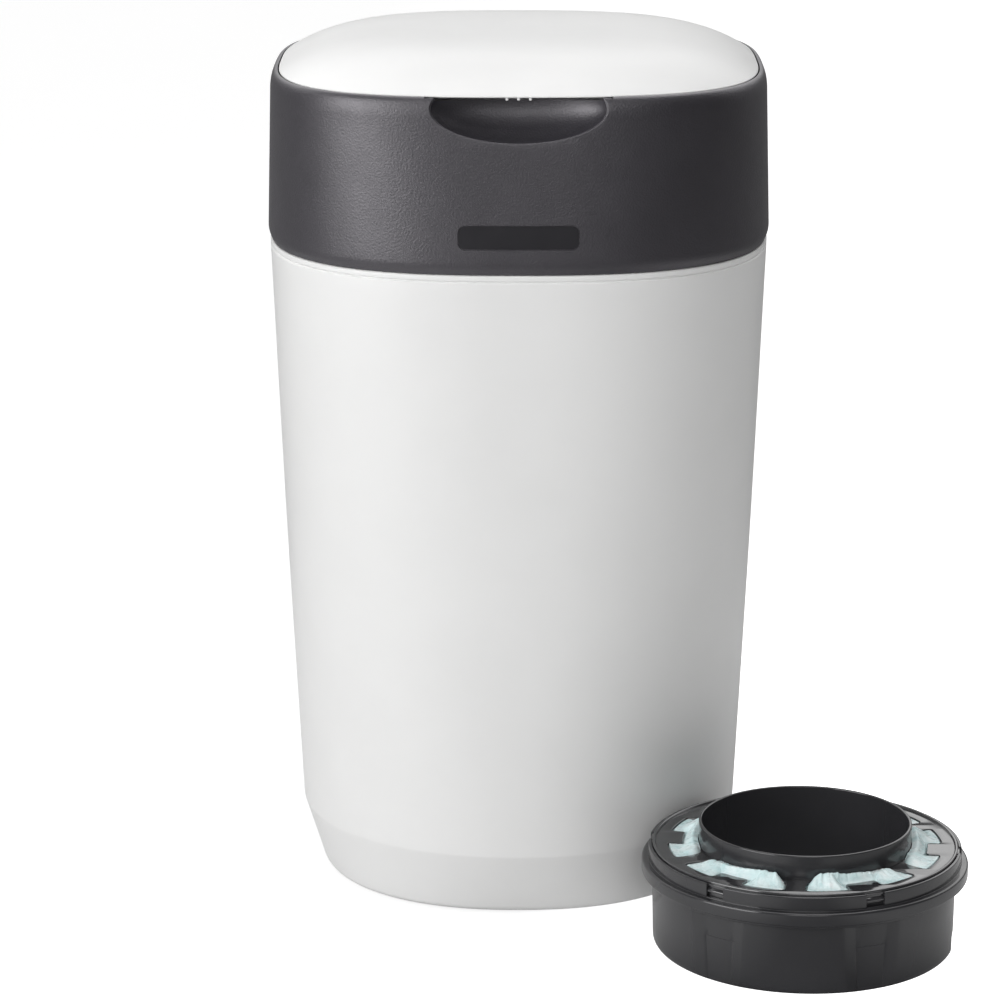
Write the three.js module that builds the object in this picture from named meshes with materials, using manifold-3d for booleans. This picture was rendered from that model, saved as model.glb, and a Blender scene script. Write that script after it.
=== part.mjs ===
// A nappy bin: a tapered tub, a hinged head with a twist ring that carries a film cassette,
// a hinged lid, and a spare cassette standing beside it.
// Millimetres, +Z up, the front looks towards -Y, and the origin is on the floor under the tub.
import * as THREE from "three";
import { mergeVertices } from "three/addons/utils/BufferGeometryUtils.js";
import Module from "manifold-3d";

const wasm = await Module();
wasm.setup();

// Driving dimensions, used all over the bin
const fitGap = 0.3;
const cutOverrun = 4;
const weldDistance = 1e-4;
const skinSides = 48;
const ringSides = 36;
const cassetteSides = 36;
const pinSides = 10;

// Cassette: a ring-shaped body, a spoked cover and the folded film between them
const boreOuterRadius = 56;
const filmRoom = 24.8;
const cassetteWall = 3.4;
const cassetteFloor = 2;
const cassetteFoot = 3;
const boreWall = 1.6;
const boreRise = 11.5;
const beadProud = 5.2;
const beadBottom = 38.3;
const beadTop = 47;
const coverRise = 8.7;
const coverRimInset = 5.6;
const coverRimWall = 2.2;
const coverEdgeBevel = 0.8;
const coverPlate = 1.7;
const coverRingWidth = 8;
const spokeWidth = 10.4;
const tabWidth = 18;
const tabReach = 8;
const flangeRise = 7.6;
const flangeWall = 1.7;
const notchWidth = 10.4;
const notchHeight = 7;
const snapReach = 1.4;
const snapHeight = 2.2;
const snapLift = 2.6;
const channelDepth = 2;
const channelBottomWidth = 28;
const channelTopWidth = 32;
const fixtureCount = 6;
const notchAngle = THREE.MathUtils.degToRad(-8);
const spokeAngle = THREE.MathUtils.degToRad(-38);
const filmGap = 0.4;
const filmTopGap = 0.5;
const filmPuffRise = 4;
const filmPuffRoot = 1.4;
const filmPuffShoulder = 0.8;
const filmPuffAngle = THREE.MathUtils.degToRad(42);
const filmPuffInset = 1.2;

// The spare cassette stands beside the tub, to the right of its front
const spareGap = 1.5;
const spareAngle = THREE.MathUtils.degToRad(-44.06);

// Twist ring that carries the working cassette
const twistRunningGap = 0.5;
const twistWall = 2.6;
const skirtWall = 5.5;
const skirtLift = 5;
const dialWidth = 13.8;
const dialProud = 0.2;
const dialHeight = 8.2;
const dialSideGap = 1.2;
const dialGripCount = 12;
const dialGripWidth = 3;
const dialGripRise = 2;
const dialGripInset = 1.6;
const toothCount = 60;
const toothRootInset = 1.1;
const toothDepth = 1.8;
const toothHeight = 5;
const driveRibWidth = 5;
const driveRibDepth = 1;
const driveRibInset = 3;
const cassetteSeatDrop = 1;

// Ratchet pawl in the trough under the dial
const pawlAngle = THREE.MathUtils.degToRad(135);
const pawlPivotOut = 5.3;
const pawlHalfWidth = 1.8;
const pawlTail = 2.5;
const pawlLength = 12;
const pawlShoulder = 6;
const pawlThickness = 4;
const pawlNoseLift = 0.8;
const pawlNoseWidth = 1.5;
const pawlNoseInset = 0.3;
const pawlNoseReach = 2.1;
const pawlPlay = 0.45;
const pawlPinRadius = 1;
const pawlSpringHeight = 2.4;
const pawlSpringRadius = 2.6;

// Deck inside the collar, with the trough for the dial and the well for the cassette
const deckDrop = 15.9;
const deckPlate = 2.5;
const deckSideGap = 0.5;
const troughWall = 2.5;
const troughDepth = 24;
const troughFloor = 3;
const wellWall = 2.5;
const wellClearance = 2;
const seatPlate = 3;
const seatHoleMargin = 6;

// Screws and the bosses that hold the deck
const bossInset = 7.07;
const bossRadius = 5;
const bossLength = 20;
const bossWebWidth = 3.5;
const bossWebReach = 11;
const screwRadius = 1.5;
const screwHeadRadius = 3.2;
const screwHeadHeight = 2;
const screwLength = 14;
const screwSlotWidth = 0.9;
const screwSlotDepth = 0.8;

// Gripper under the cassette: a ring with four sprung flaps
const gripperEdgeInset = 11.8;
const gripperBoreOut = 2;
const gripperHeight = 8.7;
const gripperPlate = 2.2;
const spigotWall = 2;
const spigotRise = 2.8;
const flapCount = 4;
const flapPivotInset = 10;
const flapHeadroom = 0.5;
const flapBarrelRadius = 2.4;
const flapEndGap = 6.35;
const flapPinRadius = 1.2;
const flapPinSeat = 5.65;
const flapTipHalfWidth = 16;
const flapLength = 34;
const flapThickness = 1.6;
const flapSlope = THREE.MathUtils.degToRad(25);

// Film cutter under the front of the seat
const cutterHalfWidth = 14;
const cutterFrontInset = 1.8;
const cutterBackGap = 1.5;
const cutterHeight = 14.7;
const cutterNotchHalfWidth = 4;
const cutterNotchRise = 9;
const cutterScrewPlace = 9.5;
const bladeHalfWidth = 5;
const bladeThickness = 0.8;
const bladeBottomRise = 3.5;
const bladeTopDrop = 2;

// Tub: the head overhangs the trough of the dial by a margin, and the tub tapers from there
const headMargin = 30;
const tubWall = 2.5;
const tubBaseHeight = 1.5;
const tubBaseInset = 25;
const tubBaseRound = 4;
const tubCreaseHeight = 36.6;
const tubCreaseInset = 13.4;
const tubWaistHeight = 184;
const tubWaistInset = 6.4;
const tubTopHeight = 356.7;
const tubTopRound = 1.6;
const tubBeadHeight = 3.4;
const tubGrooveDepth = 0.5;
const tubGrooveSlope = 0.6;
const tubShoulderDrop = 7;
const neckRise = 7;
const neckSlack = 0.8;
const neckBeadHalfLength = 24;
const neckBeadDrop = 1.2;
const neckBeadHeight = 2.2;
const neckBeadProud = 0.4;

// Rubber pads under the tub
const padRadius = 9;
const padInset = 43;

// Collar, the dark outer shell of the head
const collarWall = 2.6;
const collarHeight = 90.9;
const collarBottomInset = 0.8;
const collarChamfer = 4.5;
const collarProud = 1.05;
const collarTaperInset = 2.45;
const collarBrowDrop = 11.3;
const collarBrowInset = 3.3;
const collarLipWall = 0.9;
const browSteps = 3;

// Finger scoop in the front of the collar
const scoopHalfWidth = 45.3;
const scoopHalfHeight = 17.6;
const scoopDrop = 5.4;
const scoopWall = 2.5;
const scoopBackGap = 2.6;
const scoopTopGap = 3.3;
const scoopSides = 24;
const scoopRings = 16;

// Shallow label recess in the front of the collar
const labelHalfWidth = 31.2;
const labelRise = 13;
const labelHeight = 13;
const labelCorner = 4;
const labelDepth = 0.8;

// Hinge between tub and head
const headHingeOut = 5;
const headHingeDrop = 1.7;
const headBarrelRadius = 4;
const headBarrelHalfLength = 29.7;
const headLugLength = 10;
const headWebRise = 9;
const headPinRadius = 1.6;
const pinHeadRadius = 3;
const pinHeadLength = 1.5;

// Lid
const lidSideGap = 0.7;
const lidEdgeRise = 0.3;
const lidLipDrop = 0.4;
const lidLipWidth = 2.7;
const lidRise = 17;
const lidWall = 2.4;
const lidPower = 5;
const lidDomeShares = [0.5, 0.75, 0.89];
const lidSkirtInset = 3.7;
const lidSkirtWall = 2;
const lidSkirtDrop = 4.1;
const lidSkirtMargin = 6.7;
const lidSkirtBackShare = 0.7;
const gripRibWidth = 1.6;
const gripRibPitch = 5.95;
const gripRibDrop = 2;
const gripRibRise = 1.5;
const gripRibInset = 1.1;
const gripRibLength = 7.6;

// Hinge between head and lid
const lidHingeOut = 5.9;
const lidHingeDrop = 1.9;
const lidBarrelRadius = 3.4;
const lidBarrelHalfLength = 22;
const lidLugLength = 6.4;
const lidLugDrop = 6;
const lidArmRise = 2.4;
const lidArmDrop = 0.6;
const lidArmRoot = 8;
const lidNotchSlack = 0.5;
const lidNotchDrop = 1.6;
const lidPinRadius = 1.5;

// Liner and seal inside the lid
const linerMargin = 4.5;
const linerWall = 2;
const linerClearance = 1.8;
const sealWidth = 3.4;

// Radii, built outwards from the cassette's bore
const cassetteOuterRadius = boreOuterRadius + filmRoom;
const beadRadius = cassetteOuterRadius + beadProud;
const coverRimRadius = beadRadius - coverRimInset;
const coverRingInner = coverRimRadius - coverRingWidth;
const flangeInner = coverRimRadius + fitGap;
const flangeOuter = flangeInner + flangeWall;
const flangeTop = beadTop + flangeRise;
const coverTop = beadTop + coverRise;
const boreHeight = coverTop + boreRise;
const dialBore = beadRadius + twistRunningGap;
const skirtBore = cassetteOuterRadius + twistRunningGap;
const skirtRadius = skirtBore + skirtWall;
const wellRadius = skirtRadius + twistRunningGap;
const wellOuter = wellRadius + wellWall;
const toothRootRadius = dialBore + twistWall + toothRootInset;
const toothTipRadius = toothRootRadius + toothDepth;
const pawlPivotRadius = toothTipRadius + pawlPivotOut;
const pawlNoseRadius = toothRootRadius + pawlNoseLift;
const dialRadius = dialBore + dialWidth;
const troughRadius = dialRadius + dialSideGap;
const troughOuter = troughRadius + troughWall;
const linerHalf = troughOuter + linerMargin;
const seatHoleRadius = boreOuterRadius + seatHoleMargin;
const gripperOuterRadius = wellOuter - gripperEdgeInset;
const gripperInnerRadius = seatHoleRadius + gripperBoreOut;
const flapPivotPlace = gripperInnerRadius - flapPivotInset;
const flapSpan = Math.sqrt(gripperInnerRadius ** 2 - flapPivotPlace ** 2);
const flapPinHalfLength = flapSpan + flapPinSeat;
const flapRootHalfWidth = flapSpan - flapEndGap;
const cutterFront = wellOuter - cutterFrontInset;
const cutterBack = gripperOuterRadius + cutterBackGap;

// Half-widths of the rounded squares
const tubTopHalf = troughOuter + headMargin;
const tubWaistHalf = tubTopHalf - tubWaistInset;
const tubCreaseHalf = tubTopHalf - tubCreaseInset;
const tubBaseHalf = tubTopHalf - tubBaseInset;
const collarBottomHalf = tubTopHalf - collarBottomInset;
const collarWideHalf = tubTopHalf + collarProud;
const collarBrowHalf = collarWideHalf - collarTaperInset;
const collarLipOuterHalf = collarBrowHalf - collarBrowInset;
const collarLipInnerHalf = collarLipOuterHalf - collarLipWall;
const lidHalf = collarLipInnerHalf - lidSideGap;
const neckHalf = collarBottomHalf - collarWall - neckSlack;
const lidSkirtHalf = lidHalf - lidSkirtInset;
const scoopDepth = collarBrowHalf - linerHalf - scoopWall - scoopBackGap;
const padPlace = tubBaseHalf - padInset;

// Heights, stacked on the tub and hung from the collar's top
const neckTop = tubTopHeight + neckRise;
const collarBottomHeight = tubTopHeight + fitGap;
const collarWideHeight = collarBottomHeight + collarChamfer;
const collarTopHeight = collarBottomHeight + collarHeight;
const collarBrowHeight = collarTopHeight - collarBrowDrop;
const scoopHeight = collarTopHeight - scoopDrop;
const deckTop = collarTopHeight - deckDrop;
const troughFloorTop = deckTop - troughDepth;
const bearingBottom = troughFloorTop + fitGap;
const cassetteSeatHeight = troughFloorTop - cassetteSeatDrop;
const cassetteBase = cassetteSeatHeight + fitGap - beadBottom;
const seatTop = cassetteBase - wellClearance;
const seatBottom = seatTop - seatPlate;
const gripperTop = seatBottom - fitGap;
const gripperBottom = gripperTop - gripperHeight;
const flapPivotHeight = gripperTop - gripperPlate - flapHeadroom - flapBarrelRadius;
const cutterBottom = seatBottom - fitGap - cutterHeight;
const twistSkirtBottom = seatTop + skirtLift;
const dialTop = deckTop + dialProud;
const dialBottom = dialTop - dialHeight;
const lidEdgeHeight = collarTopHeight + lidEdgeRise;
const lidLipHeight = collarTopHeight - lidLipDrop;
const lidSkirtBottom = collarTopHeight - lidSkirtDrop;
const linerBottom = cassetteBase + boreHeight + linerClearance;

// Hinge lines and the slope of the collar's side
const headHingeY = tubTopHalf + headHingeOut;
const headHingeHeight = tubTopHeight - headHingeDrop;
const lidHingeY = lidHalf + lidHingeOut;
const lidHingeHeight = collarTopHeight - lidHingeDrop;
const collarTaper = collarTaperInset / (collarBrowHeight - collarWideHeight);

// Cross-sections are rounded squares, |x/a|^n + |y/a|^n = 1, whose exponent n grows upwards
const exponentHeights = [0, tubCreaseHeight, collarBottomHeight, collarTopHeight];
const sectionExponents = [2.25, 2.1, 2.6, 3.05];

// Places that follow from the cross-sections: the deck's bosses and the spare cassette
const bossPlace = cornerPlace(collarHalfAt(deckTop) - collarWall, deckTop) - bossInset;
const spareDistance = sectionReach(tubCreaseHalf, tubCreaseHeight, spareAngle) + beadRadius + spareGap;

// Materials
const whitePlastic = new THREE.MeshStandardMaterial({ color: 0xf0f0ee, roughness: 0.5 });
const charcoalPlastic = new THREE.MeshStandardMaterial({ color: 0x46454a, roughness: 0.45 });
const blackPlastic = new THREE.MeshStandardMaterial({ color: 0x2b2b2e, roughness: 0.4 });
const greyPlastic = new THREE.MeshStandardMaterial({ color: 0x8d9094, roughness: 0.5 });
const rubber = new THREE.MeshStandardMaterial({ color: 0x3a3a3a, roughness: 0.9 });
const steel = new THREE.MeshStandardMaterial({ color: 0xb9bcc0, roughness: 0.3, metalness: 1 });
const film = new THREE.MeshStandardMaterial({ color: 0xbfe0dc, roughness: 0.35 });

// Solids from geometries, and meshes from solids

function solid(geometry) {
  const bare = geometry.clone();
  bare.deleteAttribute("normal");
  bare.deleteAttribute("uv");
  const merged = mergeVertices(bare, weldDistance);
  const index = merged.index.array;
  const triVerts = [];
  for (let i = 0; i < index.length; i += 3) {
    const [a, b, c] = [index[i], index[i + 1], index[i + 2]];
    if (a !== b && b !== c && c !== a) triVerts.push(a, b, c);
  }
  return new wasm.Manifold(
    new wasm.Mesh({
      numProp: 3,
      vertProperties: merged.attributes.position.array,
      triVerts: new Uint32Array(triVerts),
    }),
  );
}

function joined(first, ...others) {
  return others.reduce((whole, other) => whole.add(other), first);
}

function without(first, ...others) {
  return others.reduce((whole, other) => whole.subtract(other), first);
}

function piece(name, body, material) {
  const { numProp, numVert, vertProperties, triVerts } = body.getMesh();
  const positions = new Float32Array(numVert * 3);
  for (let i = 0; i < numVert; i++) {
    positions.set(vertProperties.subarray(i * numProp, i * numProp + 3), i * 3);
  }
  const geometry = new THREE.BufferGeometry();
  geometry.setAttribute("position", new THREE.BufferAttribute(positions, 3));
  geometry.setIndex(new THREE.BufferAttribute(new Uint32Array(triVerts), 1));
  geometry.computeVertexNormals();
  const mesh = new THREE.Mesh(geometry, material);
  mesh.name = name;
  return mesh;
}

// Shapes. A profile is a list of [distance from the axis, height] that runs outwards along
// undersides, up outer walls, and back inwards, and closes on the axis or on itself.

function exponentAt(height) {
  const last = exponentHeights.length - 1;
  if (height <= exponentHeights[0]) return sectionExponents[0];
  if (height >= exponentHeights[last]) return sectionExponents[last];
  const above = exponentHeights.findIndex((level) => level > height);
  const below = above - 1;
  const share = (height - exponentHeights[below]) / (exponentHeights[above] - exponentHeights[below]);
  return THREE.MathUtils.lerp(sectionExponents[below], sectionExponents[above], share);
}

function squircleReach(half, exponent, angle) {
  const sum = Math.abs(Math.cos(angle)) ** exponent + Math.abs(Math.sin(angle)) ** exponent;
  return half / sum ** (1 / exponent);
}

function squareTurned(profile, sides = skinSides) {
  const onAxis = profile[0][0] === 0;
  const rows = onAxis ? profile : [...profile, profile[0]];
  const positions = [];
  for (const [half, height] of rows) {
    const exponent = exponentAt(height);
    for (let side = 0; side < sides; side++) {
      const angle = (side / sides) * Math.PI * 2;
      const reach = squircleReach(half, exponent, angle);
      positions.push(reach * Math.cos(angle), reach * Math.sin(angle), height);
    }
  }
  const index = [];
  for (let row = 0; row + 1 < rows.length; row++) {
    for (let side = 0; side < sides; side++) {
      const next = (side + 1) % sides;
      const [a, b] = [row * sides + side, row * sides + next];
      const [c, d] = [a + sides, b + sides];
      index.push(a, b, d, a, d, c);
    }
  }
  const geometry = new THREE.BufferGeometry();
  geometry.setAttribute("position", new THREE.Float32BufferAttribute(positions, 3));
  geometry.setIndex(index);
  return solid(geometry);
}

function turned(profile, sides = ringSides) {
  const onAxis = profile[0][0] === 0;
  const rows = onAxis ? profile : [...profile, profile[0]];
  const points = rows.map(([radius, height]) => new THREE.Vector2(radius, height));
  return solid(new THREE.LatheGeometry(points, sides).rotateX(Math.PI / 2));
}

function block(x, y, z) {
  const geometry = new THREE.BoxGeometry(x[1] - x[0], y[1] - y[0], z[1] - z[0]);
  geometry.translate((x[0] + x[1]) / 2, (y[0] + y[1]) / 2, (z[0] + z[1]) / 2);
  return solid(geometry);
}

function rod(radius, start, end, sides = pinSides) {
  const axis = new THREE.Vector3().subVectors(end, start);
  const geometry = new THREE.CylinderGeometry(radius, radius, axis.length(), sides);
  const upright = new THREE.Vector3(0, 1, 0);
  const turn = new THREE.Quaternion().setFromUnitVectors(upright, axis.clone().normalize());
  const middle = new THREE.Vector3().lerpVectors(start, end, 0.5);
  geometry.applyQuaternion(turn).translate(middle.x, middle.y, middle.z);
  return solid(geometry);
}

function rodAlongX(radius, x, y, z) {
  return rod(radius, new THREE.Vector3(x[0], y, z), new THREE.Vector3(x[1], y, z));
}

function rodUpright(radius, x, y, z) {
  return rod(radius, new THREE.Vector3(x, y, z[0]), new THREE.Vector3(x, y, z[1]));
}

function prism(outline, bottom, height) {
  const shape = new THREE.Shape(outline.map(([x, y]) => new THREE.Vector2(x, y)));
  const geometry = new THREE.ExtrudeGeometry(shape, { depth: height, bevelEnabled: false });
  return solid(geometry.translate(0, 0, bottom));
}

function around(body, angle) {
  return body.rotate([0, 0, THREE.MathUtils.radToDeg(angle)]);
}

function repeated(body, count, firstAngle) {
  return Array.from({ length: count }, (_, i) => around(body, firstAngle + (i / count) * Math.PI * 2));
}

function arc(centre, radius, fromAngle, toAngle, steps) {
  return Array.from({ length: steps + 1 }, (_, i) => {
    const angle = THREE.MathUtils.lerp(fromAngle, toAngle, i / steps);
    return [centre[0] + radius * Math.cos(angle), centre[1] + radius * Math.sin(angle)];
  });
}

function cornerPlace(half, height) {
  return sectionReach(half, height, Math.PI / 4) * Math.SQRT1_2;
}

function sectionReach(half, height, angle) {
  return squircleReach(half, exponentAt(height), angle);
}

// The collar's side between its widest line and its brow
function collarHalfAt(height) {
  return collarWideHalf - collarTaper * (height - collarWideHeight);
}

// Tub

function tubShell() {
  const quarter = Math.PI / 2;
  const shoulderInner = tubTopHalf - tubWall;
  const beadFoot = tubTopHeight - tubBeadHeight;
  const shell = squareTurned([
    [0, tubBaseHeight],
    ...arc([tubBaseHalf - tubBaseRound, tubBaseHeight + tubBaseRound], tubBaseRound, -quarter, 0, 3),
    [tubCreaseHalf, tubCreaseHeight],
    [tubWaistHalf, tubWaistHeight],
    [tubTopHalf, beadFoot - tubGrooveSlope],
    [tubTopHalf - tubGrooveDepth, beadFoot],
    [tubTopHalf, beadFoot + tubGrooveSlope],
    ...arc([tubTopHalf - tubTopRound, tubTopHeight - tubTopRound], tubTopRound, 0, quarter, 2),
    [neckHalf, tubTopHeight],
    [neckHalf, neckTop],
    [neckHalf - tubWall, neckTop],
    [neckHalf - tubWall, tubTopHeight - tubWall],
    [shoulderInner, tubTopHeight - tubShoulderDrop],
    [tubWaistHalf - tubWall, tubWaistHeight],
    [tubCreaseHalf - tubWall, tubCreaseHeight],
    [tubBaseHalf - tubBaseRound, tubBaseHeight + tubWall],
    [0, tubBaseHeight + tubWall],
  ]);
  const lugInner = headBarrelHalfLength + fitGap;
  const lugs = [-1, 1].flatMap((side) => {
    const x = [side * lugInner, side * (lugInner + headLugLength)].sort((a, b) => a - b);
    const root = block(
      x,
      [tubTopHalf - tubWall, headHingeY],
      [headHingeHeight - headBarrelRadius, headHingeHeight],
    );
    return [rodAlongX(headBarrelRadius, x, headHingeY, headHingeHeight), root];
  });
  const reach = lugInner + headLugLength + cutOverrun;
  const bore = rodAlongX(headPinRadius + fitGap, [-reach, reach], headHingeY, headHingeHeight);
  const bead = block(
    [-neckBeadHalfLength, neckBeadHalfLength],
    [-neckHalf - neckBeadProud, -neckHalf + tubWall / 2],
    [neckTop - neckBeadDrop - neckBeadHeight, neckTop - neckBeadDrop],
  );
  return piece("tub_shell", without(joined(shell, ...lugs, bead), bore), whitePlastic);
}

function footPads() {
  const places = [[-1, -1], [1, -1], [1, 1], [-1, 1]];
  return places.map(([x, y], i) =>
    piece(
      `foot_pad_${i + 1}`,
      rodUpright(padRadius, x * padPlace, y * padPlace, [0, tubBaseHeight - fitGap]),
      rubber,
    ),
  );
}

function hingePin(name, radius, halfLength, y, z) {
  const shaft = rodAlongX(radius, [-halfLength, halfLength], y, z);
  const heads = [-1, 1].map((side) => {
    const x = [side * halfLength, side * (halfLength + pinHeadLength)].sort((a, b) => a - b);
    return rodAlongX(pinHeadRadius, x, y, z);
  });
  return piece(name, joined(shaft, ...heads), steel);
}

function tub() {
  const group = new THREE.Group();
  const pinHalf = headBarrelHalfLength + headLugLength + fitGap * 2;
  group.add(tubShell(), ...footPads());
  group.add(hingePin("head_hinge_pin", headPinRadius, pinHalf, headHingeY, headHingeHeight));
  return group;
}

// Collar

function collarOuterProfile(inset) {
  const brow = arc([collarBrowHalf, collarBrowHeight], 1, 0, Math.PI / 2, browSteps).slice(1);
  const browOut = collarBrowHalf - collarLipOuterHalf;
  const browUp = collarTopHeight - collarBrowHeight;
  return [
    [collarBottomHalf - inset, collarBottomHeight],
    [collarWideHalf - inset, collarWideHeight],
    [collarBrowHalf - inset, collarBrowHeight],
    ...brow.map(([x, z]) => [
      collarLipOuterHalf - inset + browOut * (x - collarBrowHalf),
      collarBrowHeight + browUp * (z - collarBrowHeight),
    ]),
  ];
}

function filledCollar(inset, top) {
  const full = squareTurned([
    [0, collarBottomHeight],
    ...collarOuterProfile(inset),
    [0, collarTopHeight],
  ]);
  const reach = collarWideHalf + cutOverrun;
  const above = block([-reach, reach], [-reach, reach], [top, collarTopHeight + cutOverrun]);
  return full.subtract(above);
}

function scoopBody(grow) {
  const geometry = new THREE.SphereGeometry(1, scoopSides, scoopRings);
  geometry.rotateX(Math.PI / 2);
  geometry.scale(scoopHalfWidth + grow, scoopDepth + grow, scoopHalfHeight + grow);
  return solid(geometry.translate(0, -collarBrowHalf, scoopHeight));
}

function labelRecess() {
  const halfHeight = labelHeight / 2;
  const middle = collarBottomHeight + labelRise + halfHeight;
  const corners = [[1, 1], [-1, 1], [-1, -1], [1, -1]];
  const outline = corners.flatMap(([x, z], i) => {
    const centre = [x * (labelHalfWidth - labelCorner), z * (halfHeight - labelCorner)];
    const start = (i * Math.PI) / 2;
    return arc(centre, labelCorner, start, start + Math.PI / 2, 3);
  });
  const depth = collarWall + cutOverrun;
  const plug = prism(outline, 0, depth).rotate([90, 0, 0]);
  const placed = plug.translate([0, -collarWideHalf + collarWall, middle]);
  return placed.subtract(filledCollar(labelDepth, collarTopHeight));
}

function headBarrel() {
  const x = [-headBarrelHalfLength, headBarrelHalfLength];
  const barrel = rodAlongX(headBarrelRadius, x, headHingeY, headHingeHeight);
  const webInner = collarBottomHalf - collarWall / 2;
  const web = block(x, [webInner, headHingeY], [collarBottomHeight, collarBottomHeight + headWebRise]);
  return joined(barrel, web);
}

function headBarrelBore() {
  const reach = headBarrelHalfLength + cutOverrun;
  return rodAlongX(headPinRadius + fitGap, [-reach, reach], headHingeY, headHingeHeight);
}

function lidLugs() {
  const inner = lidBarrelHalfLength + fitGap;
  return [-1, 1].flatMap((side) => {
    const x = [side * inner, side * (inner + lidLugLength)].sort((a, b) => a - b);
    const root = block(
      x,
      [collarLipOuterHalf - fitGap, lidHingeY],
      [lidHingeHeight - lidLugDrop, lidHingeHeight],
    );
    return [rodAlongX(lidBarrelRadius, x, lidHingeY, lidHingeHeight), root];
  });
}

function lidHingeNotch() {
  const half = lidBarrelHalfLength + fitGap;
  const around = rodAlongX(lidBarrelRadius + lidNotchSlack, [-half, half], lidHingeY, lidHingeHeight);
  const slot = block(
    [-half, half],
    [lidHalf - lidArmRoot, lidHingeY],
    [lidHingeHeight - lidNotchDrop, collarTopHeight + cutOverrun],
  );
  const reach = half + lidLugLength + cutOverrun;
  const bore = rodAlongX(lidPinRadius + fitGap, [-reach, reach], lidHingeY, lidHingeHeight);
  return joined(around, slot, bore);
}

function deckBosses() {
  const top = deckTop - deckPlate - fitGap;
  const diagonal = bossPlace * Math.SQRT2;
  const boss = rodUpright(bossRadius, diagonal, 0, [top - bossLength, top]);
  const web = block(
    [diagonal, diagonal + bossWebReach],
    [-bossWebWidth / 2, bossWebWidth / 2],
    [top - bossLength, top],
  );
  const drill = rodUpright(
    screwRadius + fitGap,
    diagonal,
    0,
    [deckTop - screwLength - fitGap, top + cutOverrun],
  );
  return repeated(joined(boss, web).subtract(drill), flapCount, Math.PI / flapCount);
}

function collarShell() {
  const outer = collarOuterProfile(0);
  const inner = collarOuterProfile(collarWall).reverse().slice(1);
  const skin = squareTurned([...outer, [collarLipInnerHalf, collarTopHeight], ...inner]);
  const dish = scoopBody(scoopWall).intersect(filledCollar(0, lidLipHeight - scoopTopGap));
  const whole = joined(skin, dish, headBarrel(), ...lidLugs(), ...deckBosses());
  const cuts = [scoopBody(0), labelRecess(), headBarrelBore(), lidHingeNotch()];
  return piece("collar_shell", without(whole, ...cuts), charcoalPlastic);
}

// Deck inside the collar, with the trough for the dial and the well for the cassette

function deckTray() {
  const half = collarHalfAt(deckTop) - collarWall - deckSideGap;
  const plate = squareTurned([
    [0, deckTop - deckPlate],
    [half, deckTop - deckPlate],
    [half, deckTop],
    [0, deckTop],
  ]);
  const troughBottom = troughFloorTop - troughFloor;
  const hole = rodThrough(troughRadius + troughWall / 2, [deckTop - deckPlate, deckTop]);
  const bowl = turned([
    [seatHoleRadius, seatBottom],
    [wellOuter, seatBottom],
    [wellOuter, troughBottom],
    [troughOuter, troughBottom],
    [troughOuter, deckTop],
    [troughRadius, deckTop],
    [troughRadius, troughFloorTop],
    [wellRadius, troughFloorTop],
    [wellRadius, seatTop],
    [seatHoleRadius, seatTop],
  ]);
  const diagonal = bossPlace * Math.SQRT2;
  const screwHole = rodUpright(
    screwRadius + fitGap,
    diagonal,
    0,
    [deckTop - deckPlate - cutOverrun, deckTop + cutOverrun],
  );
  const cutterHoles = [-1, 1].map((side) =>
    rodUpright(
      screwRadius + fitGap,
      side * cutterScrewPlace,
      -(cutterFront + cutterBack) / 2,
      [seatBottom - cutOverrun, seatTop + cutOverrun],
    ),
  );
  const pinHole = around(
    rodUpright(
      pawlPinRadius + fitGap,
      pawlPivotRadius,
      0,
      [troughBottom - cutOverrun, troughFloorTop + cutOverrun],
    ),
    pawlAngle,
  );
  const body = without(
    joined(plate.subtract(hole), bowl),
    scoopBody(scoopWall + fitGap),
    ...repeated(screwHole, flapCount, Math.PI / flapCount),
    ...cutterHoles,
    pinHole,
  );
  return piece("deck_tray", body, charcoalPlastic);
}

function rodThrough(radius, z) {
  return turned([
    [0, z[0] - cutOverrun],
    [radius, z[0] - cutOverrun],
    [radius, z[1] + cutOverrun],
    [0, z[1] + cutOverrun],
  ]);
}

// A pan-head screw whose head sits under or over the plate; up is 1 or -1
function screw(name, x, y, underHead, length, up) {
  const along = (from, to) => [underHead + up * from, underHead + up * to].sort((a, b) => a - b);
  const shank = rodUpright(screwRadius, x, y, along(-length, screwHeadHeight / 2));
  const head = rodUpright(screwHeadRadius, x, y, along(fitGap, fitGap + screwHeadHeight));
  const slotAt = along(fitGap + screwHeadHeight - screwSlotDepth, fitGap + screwHeadHeight + cutOverrun);
  const long = [x - screwHeadRadius * 2, x + screwHeadRadius * 2];
  const slot = block(long, [y - screwSlotWidth / 2, y + screwSlotWidth / 2], slotAt);
  return piece(name, joined(shank, head).subtract(slot), steel);
}

function deckScrews() {
  const places = [[-1, -1], [1, -1], [1, 1], [-1, 1]];
  return places.map(([x, y], i) =>
    screw(`deck_screw_${i + 1}`, x * bossPlace, y * bossPlace, deckTop, screwLength, 1),
  );
}

// Gripper under the seat

function gripperRing() {
  const spigotRadius = seatHoleRadius - fitGap;
  const ring = turned([
    [gripperInnerRadius, gripperBottom],
    [gripperOuterRadius, gripperBottom],
    [gripperOuterRadius, gripperTop],
    [spigotRadius, gripperTop],
    [spigotRadius, gripperTop + spigotRise],
    [spigotRadius - spigotWall, gripperTop + spigotRise],
    [spigotRadius - spigotWall, gripperTop - gripperPlate],
    [gripperInnerRadius, gripperTop - gripperPlate],
  ]);
  const half = flapPinHalfLength + fitGap;
  const bore = rodAlongX(flapPinRadius + fitGap, [-half, half], flapPivotPlace, flapPivotHeight);
  return piece("gripper_ring", without(ring, ...repeated(bore, flapCount, 0)), greyPlastic);
}

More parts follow.
